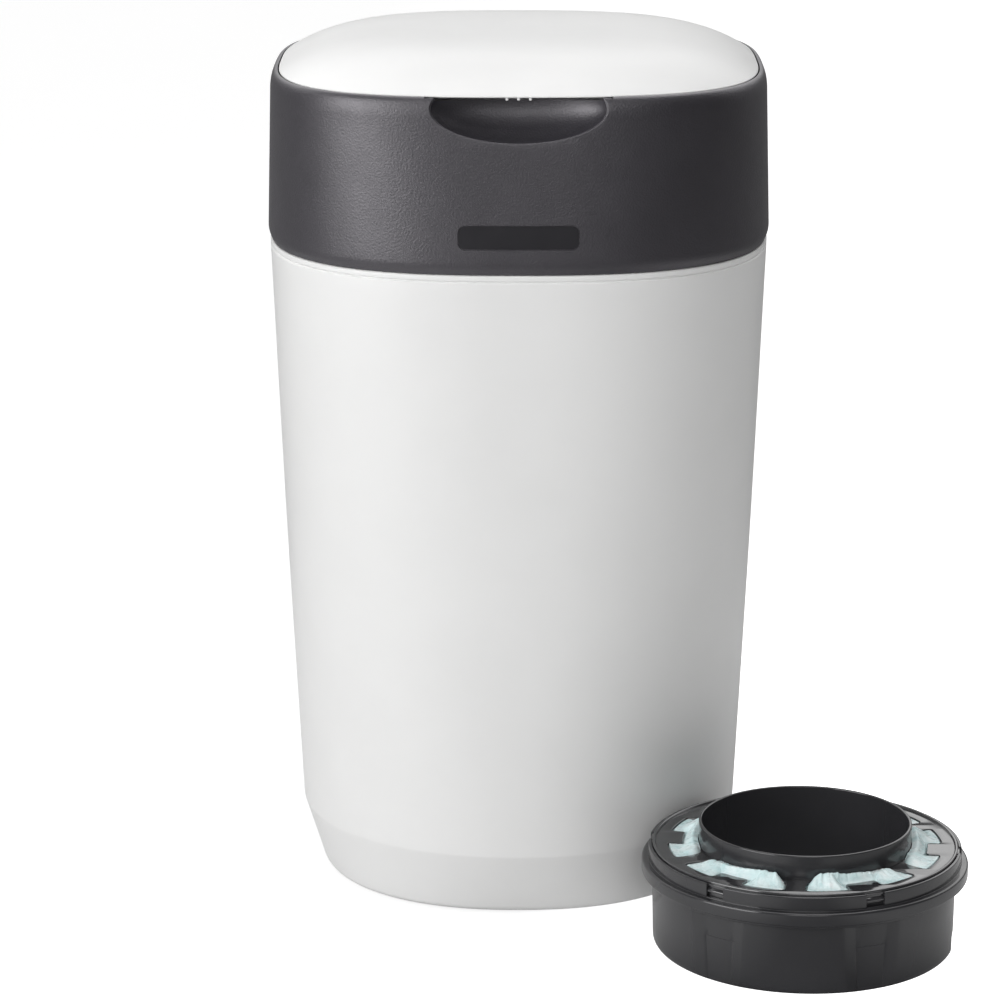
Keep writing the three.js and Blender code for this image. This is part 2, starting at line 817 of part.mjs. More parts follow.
function flapBody() {
  const barrel = rodAlongX(
    flapBarrelRadius,
    [-flapRootHalfWidth, flapRootHalfWidth],
    0,
    0,
  );
  const blade = prism(
    [
      [-flapRootHalfWidth, 0],
      [-flapTipHalfWidth, -flapLength],
      [flapTipHalfWidth, -flapLength],
      [flapRootHalfWidth, 0],
    ],
    -flapThickness / 2,
    flapThickness,
  );
  const reach = flapRootHalfWidth + cutOverrun;
  const bore = rodAlongX(flapPinRadius + fitGap, [-reach, reach], 0, 0);
  return joined(barrel, blade.rotate([THREE.MathUtils.radToDeg(flapSlope), 0, 0])).subtract(bore);
}

function flapPlace(body, i) {
  return around(body.translate([0, flapPivotPlace, flapPivotHeight]), (i / flapCount) * Math.PI * 2);
}

function flapPins() {
  const pin = rodAlongX(flapPinRadius, [-flapPinHalfLength, flapPinHalfLength], 0, 0);
  return Array.from({ length: flapCount }, (_, i) =>
    piece(`flap_pin_${i + 1}`, flapPlace(pin, i), steel),
  );
}

function flaps() {
  const body = flapBody();
  return Array.from({ length: flapCount }, (_, i) =>
    piece(`flap_${i + 1}`, flapPlace(body, i), greyPlastic),
  );
}

// Film cutter: a guard with a notch, and the blade set behind it

function cutter() {
  const top = seatBottom - fitGap;
  const guard = prism(
    [
      [-cutterHalfWidth, cutterBottom],
      [-cutterNotchHalfWidth, cutterBottom],
      [0, cutterBottom + cutterNotchRise],
      [cutterNotchHalfWidth, cutterBottom],
      [cutterHalfWidth, cutterBottom],
      [cutterHalfWidth, top],
      [-cutterHalfWidth, top],
    ],
    0,
    cutterFront - cutterBack,
  ).rotate([90, 0, 0]).translate([0, -cutterBack, 0]);
  const middle = -(cutterFront + cutterBack) / 2;
  const bladeAt = (grow) =>
    block(
      [-bladeHalfWidth - grow, bladeHalfWidth + grow],
      [middle - bladeThickness / 2 - grow, middle + bladeThickness / 2 + grow],
      [cutterBottom + bladeBottomRise - grow, top - bladeTopDrop + grow],
    );
  const drills = [-1, 1].map((side) =>
    rodUpright(
      screwRadius + fitGap,
      side * cutterScrewPlace,
      middle,
      [cutterBottom - cutOverrun, top + cutOverrun],
    ),
  );
  const length = seatTop - fitGap - cutterBottom;
  return [
    piece("cutter_guard", without(guard, bladeAt(fitGap), ...drills), whitePlastic),
    piece("cutter_blade", bladeAt(0), steel),
    ...[-1, 1].map((side, i) =>
      screw(`cutter_screw_${i + 1}`, side * cutterScrewPlace, middle, cutterBottom, length, -1),
    ),
  ];
}

// Ratchet pawl, its pin and its spring

function pawl() {
  const noseY = pawlLength - pawlNoseInset;
  const noseX = Math.sqrt(pawlNoseRadius ** 2 - noseY ** 2) - pawlPivotRadius;
  const lever = prism(
    [
      [-pawlHalfWidth, -pawlTail],
      [pawlHalfWidth, -pawlTail],
      [pawlHalfWidth, pawlShoulder],
      [0, pawlLength],
      [noseX, noseY],
      [noseX, noseY - pawlNoseWidth],
      [noseX + pawlNoseReach, noseY - pawlNoseWidth],
      [-pawlHalfWidth, pawlShoulder],
    ],
    bearingBottom,
    pawlThickness,
  );
  const bore = rodUpright(
    pawlPinRadius + fitGap,
    0,
    0,
    [bearingBottom - cutOverrun, bearingBottom + pawlThickness + cutOverrun],
  );
  const placed = lever.subtract(bore).translate([pawlPivotRadius, 0, 0]);
  return piece("ratchet_pawl", around(placed, pawlAngle), greyPlastic);
}

function pawlPinAndSpring() {
  const springBottom = bearingBottom + pawlThickness + fitGap;
  const capBottom = springBottom + pawlSpringHeight + fitGap;
  const pin = joined(
    rodUpright(pawlPinRadius, 0, 0, [troughFloorTop - troughFloor, capBottom + pinHeadLength / 2]),
    rodUpright(pawlSpringRadius, 0, 0, [capBottom, capBottom + pinHeadLength]),
  );
  const spring = turned(
    [
      [pawlPinRadius + fitGap, springBottom],
      [pawlSpringRadius, springBottom],
      [pawlSpringRadius, springBottom + pawlSpringHeight],
      [pawlPinRadius + fitGap, springBottom + pawlSpringHeight],
    ],
    pinSides,
  );
  const place = (body) => around(body.translate([pawlPivotRadius, 0, 0]), pawlAngle);
  return [piece("pawl_pin", place(pin), steel), piece("pawl_spring", place(spring), steel)];
}

function head() {
  const group = new THREE.Group();
  const pinHalf = lidBarrelHalfLength + lidLugLength + fitGap * 2;
  group.add(collarShell(), deckTray(), ...deckScrews());
  group.add(gripperRing(), ...flapPins(), ...flaps());
  group.add(...cutter(), pawl(), ...pawlPinAndSpring());
  group.add(hingePin("lid_hinge_pin", lidPinRadius, pinHalf, lidHingeY, lidHingeHeight));
  return group;
}

// Lid

function domeHeight(share) {
  return lidEdgeHeight + lidRise * (1 - share ** lidPower);
}

// The dome is drawn through a few stations, so between them it lies a little lower
function domeFacetHeight(share) {
  const stations = [0, ...lidDomeShares, 1];
  const above = stations.findIndex((station) => station >= share);
  const [from, to] = [stations[above - 1], stations[above]];
  return THREE.MathUtils.lerp(domeHeight(from), domeHeight(to), (share - from) / (to - from));
}

function lidCap() {
  const outer = [...lidDomeShares].reverse().map((share) => [lidHalf * share, domeHeight(share)]);
  const inner = lidDomeShares.map((share) => [lidHalf * share, domeHeight(share) - lidWall]);
  const skirtTop = domeHeight(lidSkirtHalf / lidHalf) - lidWall / 2;
  const openingHalf = scoopHalfWidth + lidSkirtMargin;
  const dome = squareTurned([
    [0, domeHeight(0) - lidWall],
    ...inner,
    [lidHalf - lidLipWidth, lidLipHeight],
    [lidHalf, lidLipHeight],
    [lidHalf, lidEdgeHeight],
    ...outer,
    [0, domeHeight(0)],
  ]);
  const skirt = squareTurned([
    [lidSkirtHalf - lidSkirtWall, lidSkirtBottom],
    [lidSkirtHalf, lidSkirtBottom],
    [lidSkirtHalf, skirtTop],
    [lidSkirtHalf - lidSkirtWall, skirtTop],
  ]);
  const opening = block(
    [-openingHalf, openingHalf],
    [-lidHalf - cutOverrun, -lidHalf * lidSkirtBackShare],
    [lidSkirtBottom - cutOverrun, skirtTop + cutOverrun],
  );
  const ribs = [-1, 0, 1].map((i) =>
    block(
      [i * gripRibPitch - gripRibWidth / 2, i * gripRibPitch + gripRibWidth / 2],
      [gripRibInset - lidHalf, gripRibInset + gripRibLength - lidHalf],
      [collarTopHeight - gripRibDrop, collarTopHeight + gripRibRise],
    ),
  );
  const x = [-lidBarrelHalfLength, lidBarrelHalfLength];
  const barrel = rodAlongX(lidBarrelRadius, x, lidHingeY, lidHingeHeight);
  const arm = block(
    x,
    [lidHalf - lidArmRoot, lidHingeY],
    [lidHingeHeight - lidArmDrop, lidHingeHeight + lidArmRise],
  );
  const reach = lidBarrelHalfLength + cutOverrun;
  const bore = rodAlongX(lidPinRadius + fitGap, [-reach, reach], lidHingeY, lidHingeHeight);
  const whole = joined(dome, skirt.subtract(opening), ...ribs, barrel, arm);
  return piece("lid_cap", whole.subtract(bore), whitePlastic);
}

function lidLiner() {
  const innerHalf = linerHalf - linerWall;
  const rimTop = domeFacetHeight(linerHalf / lidHalf) - lidWall - fitGap;
  const pan = squareTurned([
    [0, linerBottom],
    [linerHalf, linerBottom],
    [linerHalf, rimTop],
    [innerHalf, rimTop],
    [innerHalf, linerBottom + linerWall],
    [0, linerBottom + linerWall],
  ]);
  return piece("lid_liner", pan, whitePlastic);
}

function lidSeal() {
  const top = linerBottom - fitGap;
  const bottom = deckTop + fitGap;
  const ring = squareTurned([
    [linerHalf - sealWidth, bottom],
    [linerHalf - sealWidth / 2, bottom],
    [linerHalf, top],
    [linerHalf - sealWidth, top],
  ]);
  return piece("lid_seal", ring, rubber);
}

function lid() {
  const group = new THREE.Group();
  group.add(lidCap(), lidLiner(), lidSeal());
  return group;
}

// Cassette, built round its own axis with its base at height zero

function channelCutter() {
  const outline = [
    [-channelBottomWidth / 2, 0],
    [channelBottomWidth / 2, 0],
    [channelTopWidth / 2, beadBottom],
    [-channelTopWidth / 2, beadBottom],
  ];
  const wedge = prism(outline, 0, cutOverrun + channelDepth).rotate([90, 0, 90]);
  const core = rodThrough(cassetteOuterRadius - channelDepth, [0, beadBottom]);
  return wedge.translate([cassetteOuterRadius - channelDepth - channelDepth, 0, 0]).subtract(core);
}

function cassetteBody(name) {
  const inner = cassetteOuterRadius - cassetteWall;
  const shell = turned(
    [
      [boreOuterRadius - boreWall, 0],
      [cassetteOuterRadius - cassetteFoot, 0],
      [cassetteOuterRadius, cassetteFoot],
      [cassetteOuterRadius, beadBottom],
      [beadRadius, beadBottom],
      [beadRadius, beadTop],
      [flangeOuter, beadTop],
      [flangeOuter, flangeTop],
      [flangeInner, flangeTop],
      [flangeInner, beadTop],
      [inner, beadTop],
      [inner, cassetteFloor],
      [boreOuterRadius, cassetteFloor],
      [boreOuterRadius, boreHeight],
      [boreOuterRadius - boreWall, boreHeight],
    ],
    cassetteSides,
  );
  const notch = block(
    [coverRingInner, beadRadius + cutOverrun],
    [-notchWidth / 2, notchWidth / 2],
    [flangeTop - notchHeight, flangeTop + cutOverrun],
  );
  const cuts = [
    ...repeated(channelCutter(), fixtureCount, notchAngle),
    ...repeated(notch, fixtureCount, notchAngle),
  ];
  return piece(name, without(shell, ...cuts), blackPlastic);
}

function cassetteCover(name) {
  const bottom = beadTop + fitGap;
  const plateBottom = coverTop - coverPlate;
  const ring = turned(
    [
      [coverRimRadius - coverRimWall, bottom],
      [coverRimRadius, bottom],
      [coverRimRadius, coverTop - coverEdgeBevel],
      [coverRimRadius - coverEdgeBevel, coverTop],
      [coverRingInner, coverTop],
      [coverRingInner, plateBottom],
      [coverRimRadius - coverRimWall, plateBottom],
    ],
    cassetteSides,
  );
  const spoke = block(
    [boreOuterRadius + fitGap, coverRingInner + coverRimWall],
    [-spokeWidth / 2, spokeWidth / 2],
    [plateBottom, coverTop],
  );
  const tab = block(
    [coverRingInner - tabReach, coverRingInner + coverRimWall],
    [-tabWidth / 2, tabWidth / 2],
    [plateBottom, coverTop],
  );
  const snap = block(
    [coverRimRadius - coverRimWall / 2, coverRimRadius + snapReach],
    [fitGap - notchWidth / 2, notchWidth / 2 - fitGap],
    [flangeTop - notchHeight + snapLift, flangeTop - notchHeight + snapLift + snapHeight],
  );
  const parts = [
    ...repeated(spoke, fixtureCount, spokeAngle),
    ...repeated(joined(tab, snap), fixtureCount, notchAngle),
  ];
  return piece(name, joined(ring, ...parts), blackPlastic);
}

function filmPack(name) {
  const inner = boreOuterRadius + filmGap;
  const outer = cassetteOuterRadius - cassetteWall - filmGap;
  const top = coverTop - coverPlate - filmTopGap;
  const pack = turned(
    [
      [inner, cassetteFloor + filmGap],
      [outer, cassetteFloor + filmGap],
      [outer, top],
      [inner, top],
    ],
    cassetteSides,
  );
  const puffInner = inner + filmPuffInset;
  const puffOuter = coverRingInner - tabReach - filmPuffInset;
  const puff = turned(
    [
      [puffInner, top - filmPuffRoot],
      [puffOuter, top - filmPuffRoot],
      [puffOuter, coverTop + filmPuffShoulder],
      [(puffInner + puffOuter) / 2, coverTop + filmPuffRise],
      [puffInner, coverTop + filmPuffRise - filmPuffShoulder],
    ],
    cassetteSides,
  );
  const wedge = filmWedge(filmPuffAngle);
  const puffs = repeated(puff.intersect(wedge), fixtureCount, notchAngle);
  return piece(name, joined(pack, ...puffs), film);
}

function filmWedge(angle) {
  const reach = cassetteOuterRadius;
  const [x, y] = [reach * Math.cos(angle / 2), reach * Math.sin(angle / 2)];
  return prism([[0, 0], [x, -y], [reach / Math.cos(angle / 2), 0], [x, y]], 0, boreHeight);
}

function cassette(prefix) {
  const group = new THREE.Group();
  group.add(cassetteBody(`${prefix}cassette_body`));
  group.add(cassetteCover(`${prefix}cassette_cover`));
  group.add(filmPack(`${prefix}film_pack`));
  return group;
}

// Twist ring: dial, bearing flange with ratchet teeth, and the skirt that drives the cassette

function toothedFlange() {
  const pitch = (Math.PI * 2) / toothCount;
  const noseY = pawlLength - pawlNoseInset - pawlNoseWidth;
  const noseEdge = Math.asin(noseY / pawlNoseRadius);
  const phase = pawlAngle + noseEdge - pawlPlay / pawlNoseRadius;
  const outline = Array.from({ length: toothCount }, (_, i) => phase + i * pitch).flatMap((angle) => [
    [toothRootRadius * Math.cos(angle), toothRootRadius * Math.sin(angle)],
    [toothTipRadius * Math.cos(angle + pitch), toothTipRadius * Math.sin(angle + pitch)],
  ]);
  const bore = rodThrough(dialBore + twistWall / 2, [bearingBottom, bearingBottom + toothHeight]);
  return prism(outline, bearingBottom, toothHeight).subtract(bore);
}

function twistRing() {
  const ring = turned([
    [skirtBore, twistSkirtBottom],
    [skirtRadius, twistSkirtBottom],
    [skirtRadius, bearingBottom],
    [dialBore + twistWall, bearingBottom],
    [dialBore + twistWall, dialBottom],
    [dialRadius, dialBottom],
    [dialRadius, dialTop],
    [dialBore, dialTop],
    [dialBore, cassetteSeatHeight],
    [skirtBore, cassetteSeatHeight],
  ]);
  const grip = block(
    [dialBore + twistWall, dialRadius - dialGripInset],
    [-dialGripWidth / 2, dialGripWidth / 2],
    [dialBottom + dialGripRise, dialTop + dialGripRise],
  );
  const driveRib = block(
    [skirtBore - driveRibDepth, skirtBore + twistWall],
    [-driveRibWidth / 2, driveRibWidth / 2],
    [twistSkirtBottom + driveRibInset, cassetteSeatHeight - driveRibInset],
  );
  const whole = joined(
    ring,
    toothedFlange(),
    ...repeated(grip, dialGripCount, 0),
    ...repeated(driveRib, fixtureCount, notchAngle),
  );
  return piece("twist_ring", whole, greyPlastic);
}

function twister() {
  const group = new THREE.Group();
  const working = cassette("");
  working.position.z = cassetteBase;
  group.add(twistRing(), working);
  return group;
}

// The whole bin, and the spare cassette beside it

const bin = new THREE.Group();
const spare = cassette("spare_");
spare.position.set(spareDistance * Math.cos(spareAngle), spareDistance * Math.sin(spareAngle), 0);
bin.add(tub(), head(), lid(), twister(), spare);

export default bin;
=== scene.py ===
import math

import bmesh
import bpy
import numpy as np
from mathutils import Matrix, Vector, noise


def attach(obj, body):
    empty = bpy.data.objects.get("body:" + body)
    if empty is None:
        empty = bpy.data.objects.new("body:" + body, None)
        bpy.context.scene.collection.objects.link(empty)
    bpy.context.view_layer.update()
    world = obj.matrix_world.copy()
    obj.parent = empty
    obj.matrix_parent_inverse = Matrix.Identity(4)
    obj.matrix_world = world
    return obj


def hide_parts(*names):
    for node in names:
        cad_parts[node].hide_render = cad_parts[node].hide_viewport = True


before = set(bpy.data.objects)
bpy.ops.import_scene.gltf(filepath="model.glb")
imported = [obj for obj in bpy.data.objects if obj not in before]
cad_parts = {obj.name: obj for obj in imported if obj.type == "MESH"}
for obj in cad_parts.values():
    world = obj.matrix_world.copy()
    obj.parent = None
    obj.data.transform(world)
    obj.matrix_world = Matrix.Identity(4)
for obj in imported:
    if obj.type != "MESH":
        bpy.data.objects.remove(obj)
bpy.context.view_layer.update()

MM = 0.001
FIT_GAP = 0.3
OVERRUN = 4.0
WELD = 1e-6
SKIN_SIDES = 224
ROUND_SIDES = 160
PIN_SIDES = 48
ARC_STEPS = 40
FILM_ROWS = 60
SHARP_FOLD = math.radians(35)

# Sections are rounded squares whose exponent grows upwards
EXPONENT_HEIGHTS = (0.0, 36.6, 357.0, 447.9)
SECTION_EXPONENTS = (2.25, 2.1, 2.6, 3.05)

# Tub
TUB_WALL = 2.5
TUB_BASE = 1.5
TUB_BASE_HALF = 109.0
TUB_BASE_INSET = 4.0
TUB_BASE_ROUND = 4.0
TUB_CREASE = 36.6
TUB_CREASE_HALF = 120.6
TUB_WAIST = 184.0
TUB_WAIST_HALF = 127.6
TUB_WAIST_ROUND = 60.0
TUB_TOP = 356.7
TUB_TOP_HALF = 134.0
TUB_BEAD = 3.4
TUB_GROOVE = 0.9
NECK_TOP = 363.7
NECK_HALF = 129.8
NECK_BEAD_HALF = 24.0
PAD_PLACE = 66.0
PAD_RADIUS = 9.0
ROW_STEP = 8.0

# Collar
COLLAR_WALL = 2.6
COLLAR_BOTTOM = 357.0
COLLAR_BOTTOM_HALF = 133.2
COLLAR_WIDE = 361.5
COLLAR_WIDE_HALF = 135.05
COLLAR_BROW = 436.6
COLLAR_BROW_HALF = 132.6
COLLAR_TOP = 447.9
COLLAR_LIP_OUTER = 129.3
COLLAR_LIP_INNER = 128.4
BROW_STEPS = 14
SCOOP_HALF_WIDTH = 45.3
SCOOP_DEPTH = 19.0
SCOOP_HALF_HEIGHT = 17.6
SCOOP_Z = 442.5
SCOOP_WALL = 2.5
SCOOP_TOP = 446.4
DISH_TOP = 444.2
SCOOP_RIM_ROUND = 0.9
SCOOP_SIDES = 160
LABEL_HALF_WIDTH = 31.2
LABEL_BOTTOM = 370.0
LABEL_TOP = 383.0
LABEL_CORNER = 4.0
LABEL_DEPTH = 0.8

# Tops of the cutters that open the collar
SLOT_TOP = 450.0
CUTTER_TOP = 452.0
NOTCH_FLOOR = 444.4

# Pins reach a little past their lugs and end in caps
PIN_SPARE = 0.6
CAP_RADIUS = 3.0
CAP_LENGTH = 1.5

# Hinge between tub and head
HEAD_HINGE_Y = 139.0
HEAD_HINGE_Z = 355.0
HEAD_HINGE = (HEAD_HINGE_Y, HEAD_HINGE_Z)
HEAD_BARREL = 3.8
HEAD_BARREL_HALF = 29.7
HEAD_LUG = 10.0
HEAD_WEB_TOP = 366.0
HEAD_PIN = 1.6

# Lid and its hinge
LID_HALF = 127.7
LID_EDGE = 448.2
LID_LIP = 447.5
LID_LIP_WIDTH = 2.7
LID_RISE = 17.0
LID_WALL = 2.4
LID_POWER = 5
DOME_SHARES = (
    *(0.995, 0.985, 0.97, 0.955, 0.94, 0.92, 0.9, 0.875, 0.85),
    *(0.82, 0.78, 0.73, 0.67, 0.6, 0.5, 0.38, 0.25, 0.12),
)
LID_EDGE_ROUND = 0.5
LID_SKIRT_HALF = 124.0
LID_SKIRT_WALL = 2.0
LID_SKIRT_BOTTOM = 443.8
LID_SKIRT_OPENING = 52.0
LID_HINGE_Y = 133.6
LID_HINGE_Z = 446.0
LID_HINGE = (LID_HINGE_Y, LID_HINGE_Z)
LID_BARREL = 3.4
LID_BARREL_HALF = 22.0
LID_LUG = 6.4
LID_PIN = 1.5
LID_ARM_ROOT = 8.0
RIB_PITCH = 5.95
RIB_WIDTH = 1.5
RIB_DROP = 2.0

# Liner and seal
LINER_HALF = 108.5
LINER_WALL = 2.0
LINER_BOTTOM = 438.0
SEAL_WIDTH = 3.4

# Deck
DECK_TOP = 432.0
DECK_PLATE = 2.5
DECK_GAP = 0.5
TROUGH = 101.5
TROUGH_WALL = 2.5
TROUGH_FLOOR_TOP = 408.0
TROUGH_FLOOR = 3.0
WELL = 87.3
WELL_WALL = 2.5
SEAT_TOP = 367.0
SEAT_BOTTOM = 364.0
SEAT_HOLE = 62.0
BOSS_PLACE = 96.0
BOSS_RADIUS = 5.0
BOSS_LENGTH = 20.0
BOSS_WEB = 11.0
SCREW_HOLE = 1.8

# Twist ring
SKIRT_BORE = 81.3
SKIRT_RADIUS = 86.8
SKIRT_BOTTOM = 372.0
CASSETTE_SEAT = 407.0
DIAL_BORE = 86.5
TWIST_WALL = 2.6
DIAL_TOP = 432.2
DIAL_BOTTOM = 424.0
DIAL_RADIUS = 100.3
GRIP_COUNT = 12
GRIP_RISE = 2.0
TOOTH_COUNT = 60
TOOTH_ROOT = 90.2
TOOTH_TIP = 92.0
TOOTH_BOTTOM = 408.3
TOOTH_HEIGHT = 5.0
# The first tooth meets the pawl's tip
FIRST_TOOTH = math.radians(135) + math.asin(10.2 / 91.0) - 0.45 / 91.0

# Cassette
CASSETTE_BASE = 369.0
CASSETTE_RADIUS = 80.8
CASSETTE_WALL = 3.4
CASSETTE_FLOOR = 2.0
BORE_OUTER = 56.0
BORE_WALL = 1.6
BORE_HEIGHT = 67.2
BEAD_RADIUS = 86.0
BEAD_BOTTOM = 38.3
BEAD_TOP = 47.0
STEP_RADIUS = 84.2
STEP_TOP = 40.0
FLANGE_INNER = 80.7
FLANGE_OUTER = 82.4
FLANGE_TOP = 54.6
NOTCH_WIDTH = 10.4
NOTCH_BOTTOM = 47.6
SNAP_REACH = 81.8
SNAP_BOTTOM = 50.2
SNAP_TOP = 52.4
COVER_TOP = 55.7
COVER_RIM = 80.4
COVER_RIM_WALL = 2.2
COVER_RING_INNER = 72.4
COVER_PLATE = 1.7
COVER_SINK = 1.1
SPOKE_WIDTH = 10.4
# The side of a spoke as (radius, half width)
SPOKE_SIDE = (
    (BORE_OUTER + 1.0, SPOKE_WIDTH / 2 + 4.0),
    (BORE_OUTER + 2.2, SPOKE_WIDTH / 2 + 1.8),
    (BORE_OUTER + 4.5, SPOKE_WIDTH / 2 + 0.5),
    (BORE_OUTER + 7.5, SPOKE_WIDTH / 2),
    (COVER_RING_INNER - 2.0, SPOKE_WIDTH / 2),
    (COVER_RING_INNER - 0.6, SPOKE_WIDTH / 2 + 0.6),
    (COVER_RING_INNER, SPOKE_WIDTH / 2 + 2.0),
)
TAB_WIDTH = 18.0
TAB_REACH = 8.0
# How a tab's side widens at its root and narrows at its tip
TAB_ROOT = ((0.0, 2.4), (0.7, 0.7), (2.2, 0.0))
TAB_TIP = ((1.8, 0.6), (0.5, 1.2), (0.0, 2.6))
FIXTURES = 6
NOTCH_ANGLE = math.radians(-8)
FOOT_RADIUS = 79.9
FOOT_ROUND = 5.0
CHANNEL_DEPTH = 2.0
CHANNEL_BOTTOM_WIDTH = 28.0
CHANNEL_TOP_WIDTH = 32.0
CHANNEL_SLOPE = 6.6
CHANNEL_STEP = 25.0
CHANNEL_STEP_DEPTH = 0.3
CREASE = 0.25
FILM_INNER = 56.4
FILM_OUTER = 77.0
FILM_TOP = 59.7
FILM_BASE = 52.2
FILM_SWELL = 67.0
SPARE_PLACE = (150.984, -146.11, 0.0)

# Gripper
GRIPPER_OUTER = 78.0
GRIPPER_INNER = 64.0
GRIPPER_BOTTOM = 355.0
GRIPPER_TOP = 363.7
GRIPPER_PLATE = 2.2

# Stage, in metres and degrees
WHITE = (1, 1, 1, 1)
FLOOR_GLOW = 0.8
SPARE_ASIDE = 0.151
CAMERA_LENS = 141.2
CAMERA_SHIFT = -0.0187
CAMERA_PLACE = (0.0, -2.1, 0.76065)
CAMERA_DOWN = 14.876
# Each lamp's name, size, watts, place and the height on the bin's axis that it aims at
LAMPS = (
    ("key", (1.6, 1.6), 35.5, (-1.72, -1.38, 0.72), 0.26),
    ("front", (1.6, 1.4), 15.6, (0.1, -3.2, 1.5), 0.24),
    ("top", (1.8, 1.8), 17.0, (0.2, 0.0, 2.1), 0.3),
)


# Meshes


def reworked(mesh, change):
    work = bmesh.new()
    work.from_mesh(mesh)
    change(work)
    work.to_mesh(mesh)
    work.free()


def weld(work):
    bmesh.ops.remove_doubles(work, verts=work.verts, dist=WELD)
    bmesh.ops.dissolve_degenerate(work, edges=work.edges, dist=WELD)
    bmesh.ops.recalc_face_normals(work, faces=work.faces)


def close_ends(work):
    bmesh.ops.holes_fill(work, edges=[e for e in work.edges if e.is_boundary], sides=0)
    bmesh.ops.recalc_face_normals(work, faces=work.faces)


def made(name, data):
    thing = bpy.data.objects.new(name, data)
    bpy.context.scene.collection.objects.link(thing)
    return thing


def evaluated_mesh(thing):
    bpy.context.view_layer.update()
    graph = bpy.context.evaluated_depsgraph_get()
    return bpy.data.meshes.new_from_object(thing.evaluated_get(graph))


def shaded(thing, degrees):
    thing.data.shade_smooth()
    thing.data.set_sharp_from_angle(angle=math.radians(degrees))


def mesh_object(name, points, faces):
    mesh = bpy.data.meshes.new(name)
    mesh.from_pydata([tuple(np.asarray(p) * MM) for p in points], [], faces)
    reworked(mesh, weld)
    return made(name, mesh)


def grid(name, rows, closed):
    rows = np.asarray(rows, float)
    count, sides = rows.shape[:2]
    faces = []
    for row in range(count if closed else count - 1):
        above = (row + 1) % count
        for side in range(sides):
            beside = (side + 1) % sides
            low, high = row * sides, above * sides
            faces.append((low + side, low + beside, high + beside, high + side))
    return mesh_object(name, rows.reshape(-1, 3), faces)


def curve_point(start, corner, end, t):
    return start * (1 - t) ** 2 + corner * 2 * t * (1 - t) + end * t * t


def rounded(profile, steps=4, closed=True):
    """Corners given as (out, up, radius) become short curves; plain ones stay sharp."""
    points = []
    count = len(profile)
    for i, corner in enumerate(profile):
        here = np.array(corner[:2], float)
        if len(corner) < 3 or (not closed and i in (0, count - 1)):
            points.append(tuple(here))
            continue
        before = np.array(profile[i - 1][:2], float)
        after = np.array(profile[(i + 1) % count][:2], float)
        back, on = before - here, after - here
        radius = min(corner[2], np.linalg.norm(back) * 0.48, np.linalg.norm(on) * 0.48)
        start = here + back / np.linalg.norm(back) * radius
        end = here + on / np.linalg.norm(on) * radius
        points += [tuple(curve_point(start, here, end, step / steps)) for step in range(steps + 1)]
    return points


def divided(profile, step):
    """Long stretches of a profile get more rows, so that the section changes evenly."""
    points = [profile[0]]
    for before, after in zip(profile, profile[1:]):
        pieces = max(1, math.ceil(abs(after[1] - before[1]) / step))
        along = np.array(after) - before
        points += [tuple(np.array(before) + along * (k + 1) / pieces) for k in range(pieces)]
    return points


def exponent_at(height):
    return float(np.interp(height, EXPONENT_HEIGHTS, SECTION_EXPONENTS))


def reach_at(half, height, angle):
    power = exponent_at(height)
    return half / (abs(math.cos(angle)) ** power + abs(math.sin(angle)) ** power) ** (1 / power)


def ring_angles(sides):
    return [side / sides * math.tau for side in range(sides)]


def polar(radius, turn):
    return (radius * math.cos(turn), radius * math.sin(turn))


def circle(radius, x=0.0, y=0.0, sides=ROUND_SIDES):
    return [(x + a, y + b) for a, b in (polar(radius, turn) for turn in ring_angles(sides))]


def four_spots(place):
    return [(x * place, y * place) for x, y in ((-1, -1), (1, -1), (1, 1), (-1, 1))]


def square_ring(half, height):
    return [(*polar(reach_at(half, height, turn), turn), height) for turn in ring_angles(SKIN_SIDES)]


def squared(name, profile, closed=False):
    """A skin of rounded squares that follows a profile of (half width, height)."""
    loop = divided([*profile, profile[0]], ROW_STEP)[:-1] if closed else divided(profile, ROW_STEP)
    return grid(name, [square_ring(half, height) for half, height in loop], closed)


def square_hoop(name, corners):
    """A hoop of rounded squares with the rounded corners of its section."""
    return squared(name, rounded(corners), True)


def turned(name, corners):
    """A ring turned round the upright axis from the rounded corners of its section."""
    rows = [[(*p, height) for p in circle(radius)] for radius, height in rounded(corners)]
    return grid(name, rows, True)


def block(name, x, y, z, bevel=0.0):
    corners = [(i, j, k) for i in x for j in y for k in z]
    faces = [(0, 1, 3, 2), (4, 6, 7, 5), (0, 4, 5, 1), (2, 3, 7, 6), (0, 2, 6, 4), (1, 5, 7, 3)]
    thing = mesh_object(name, corners, faces)
    if bevel:
        softened(thing, bevel)
    return thing


def softened(thing, radius):
    def bevel(work):
        folds = [e for e in work.edges if len(e.link_faces) == 2]
        sharp = [e for e in folds if e.calc_face_angle(0) > SHARP_FOLD]
        values = dict(segments=3, profile=0.5, affect="EDGES", clamp_overlap=True)
        bmesh.ops.bevel(work, geom=sharp, offset=radius * MM, **values)

    reworked(thing.data, bevel)


def rod(name, radius, ends, spot, bevel):
    """A round bar between two ends; spot turns (aside, aside, along) into a place."""
    corners = [(0, ends[0]), (radius, ends[0], bevel), (radius, ends[1], bevel), (0, ends[1])]
    rows = [
        [spot(*polar(out, turn), along) for turn in ring_angles(PIN_SIDES)]
        for out, along in rounded(corners, 3, closed=False)
    ]
    return grid(name, rows, False)


def rod_x(name, radius, x, y, z, bevel=0.3):
    return rod(name, radius, x, lambda a, b, along: (along, y + a, z + b), bevel)


def rod_z(name, radius, x, y, z, bevel=0.3):
    return rod(name, radius, z, lambda a, b, up: (x + a, y + b, up), bevel)


def prism(name, outline, z):
    """A closed outline in plan, drawn upright between two heights."""
    thing = grid(name, [[(x, y, height) for x, y in outline] for height in z], False)
    reworked(thing.data, close_ends)
    return thing


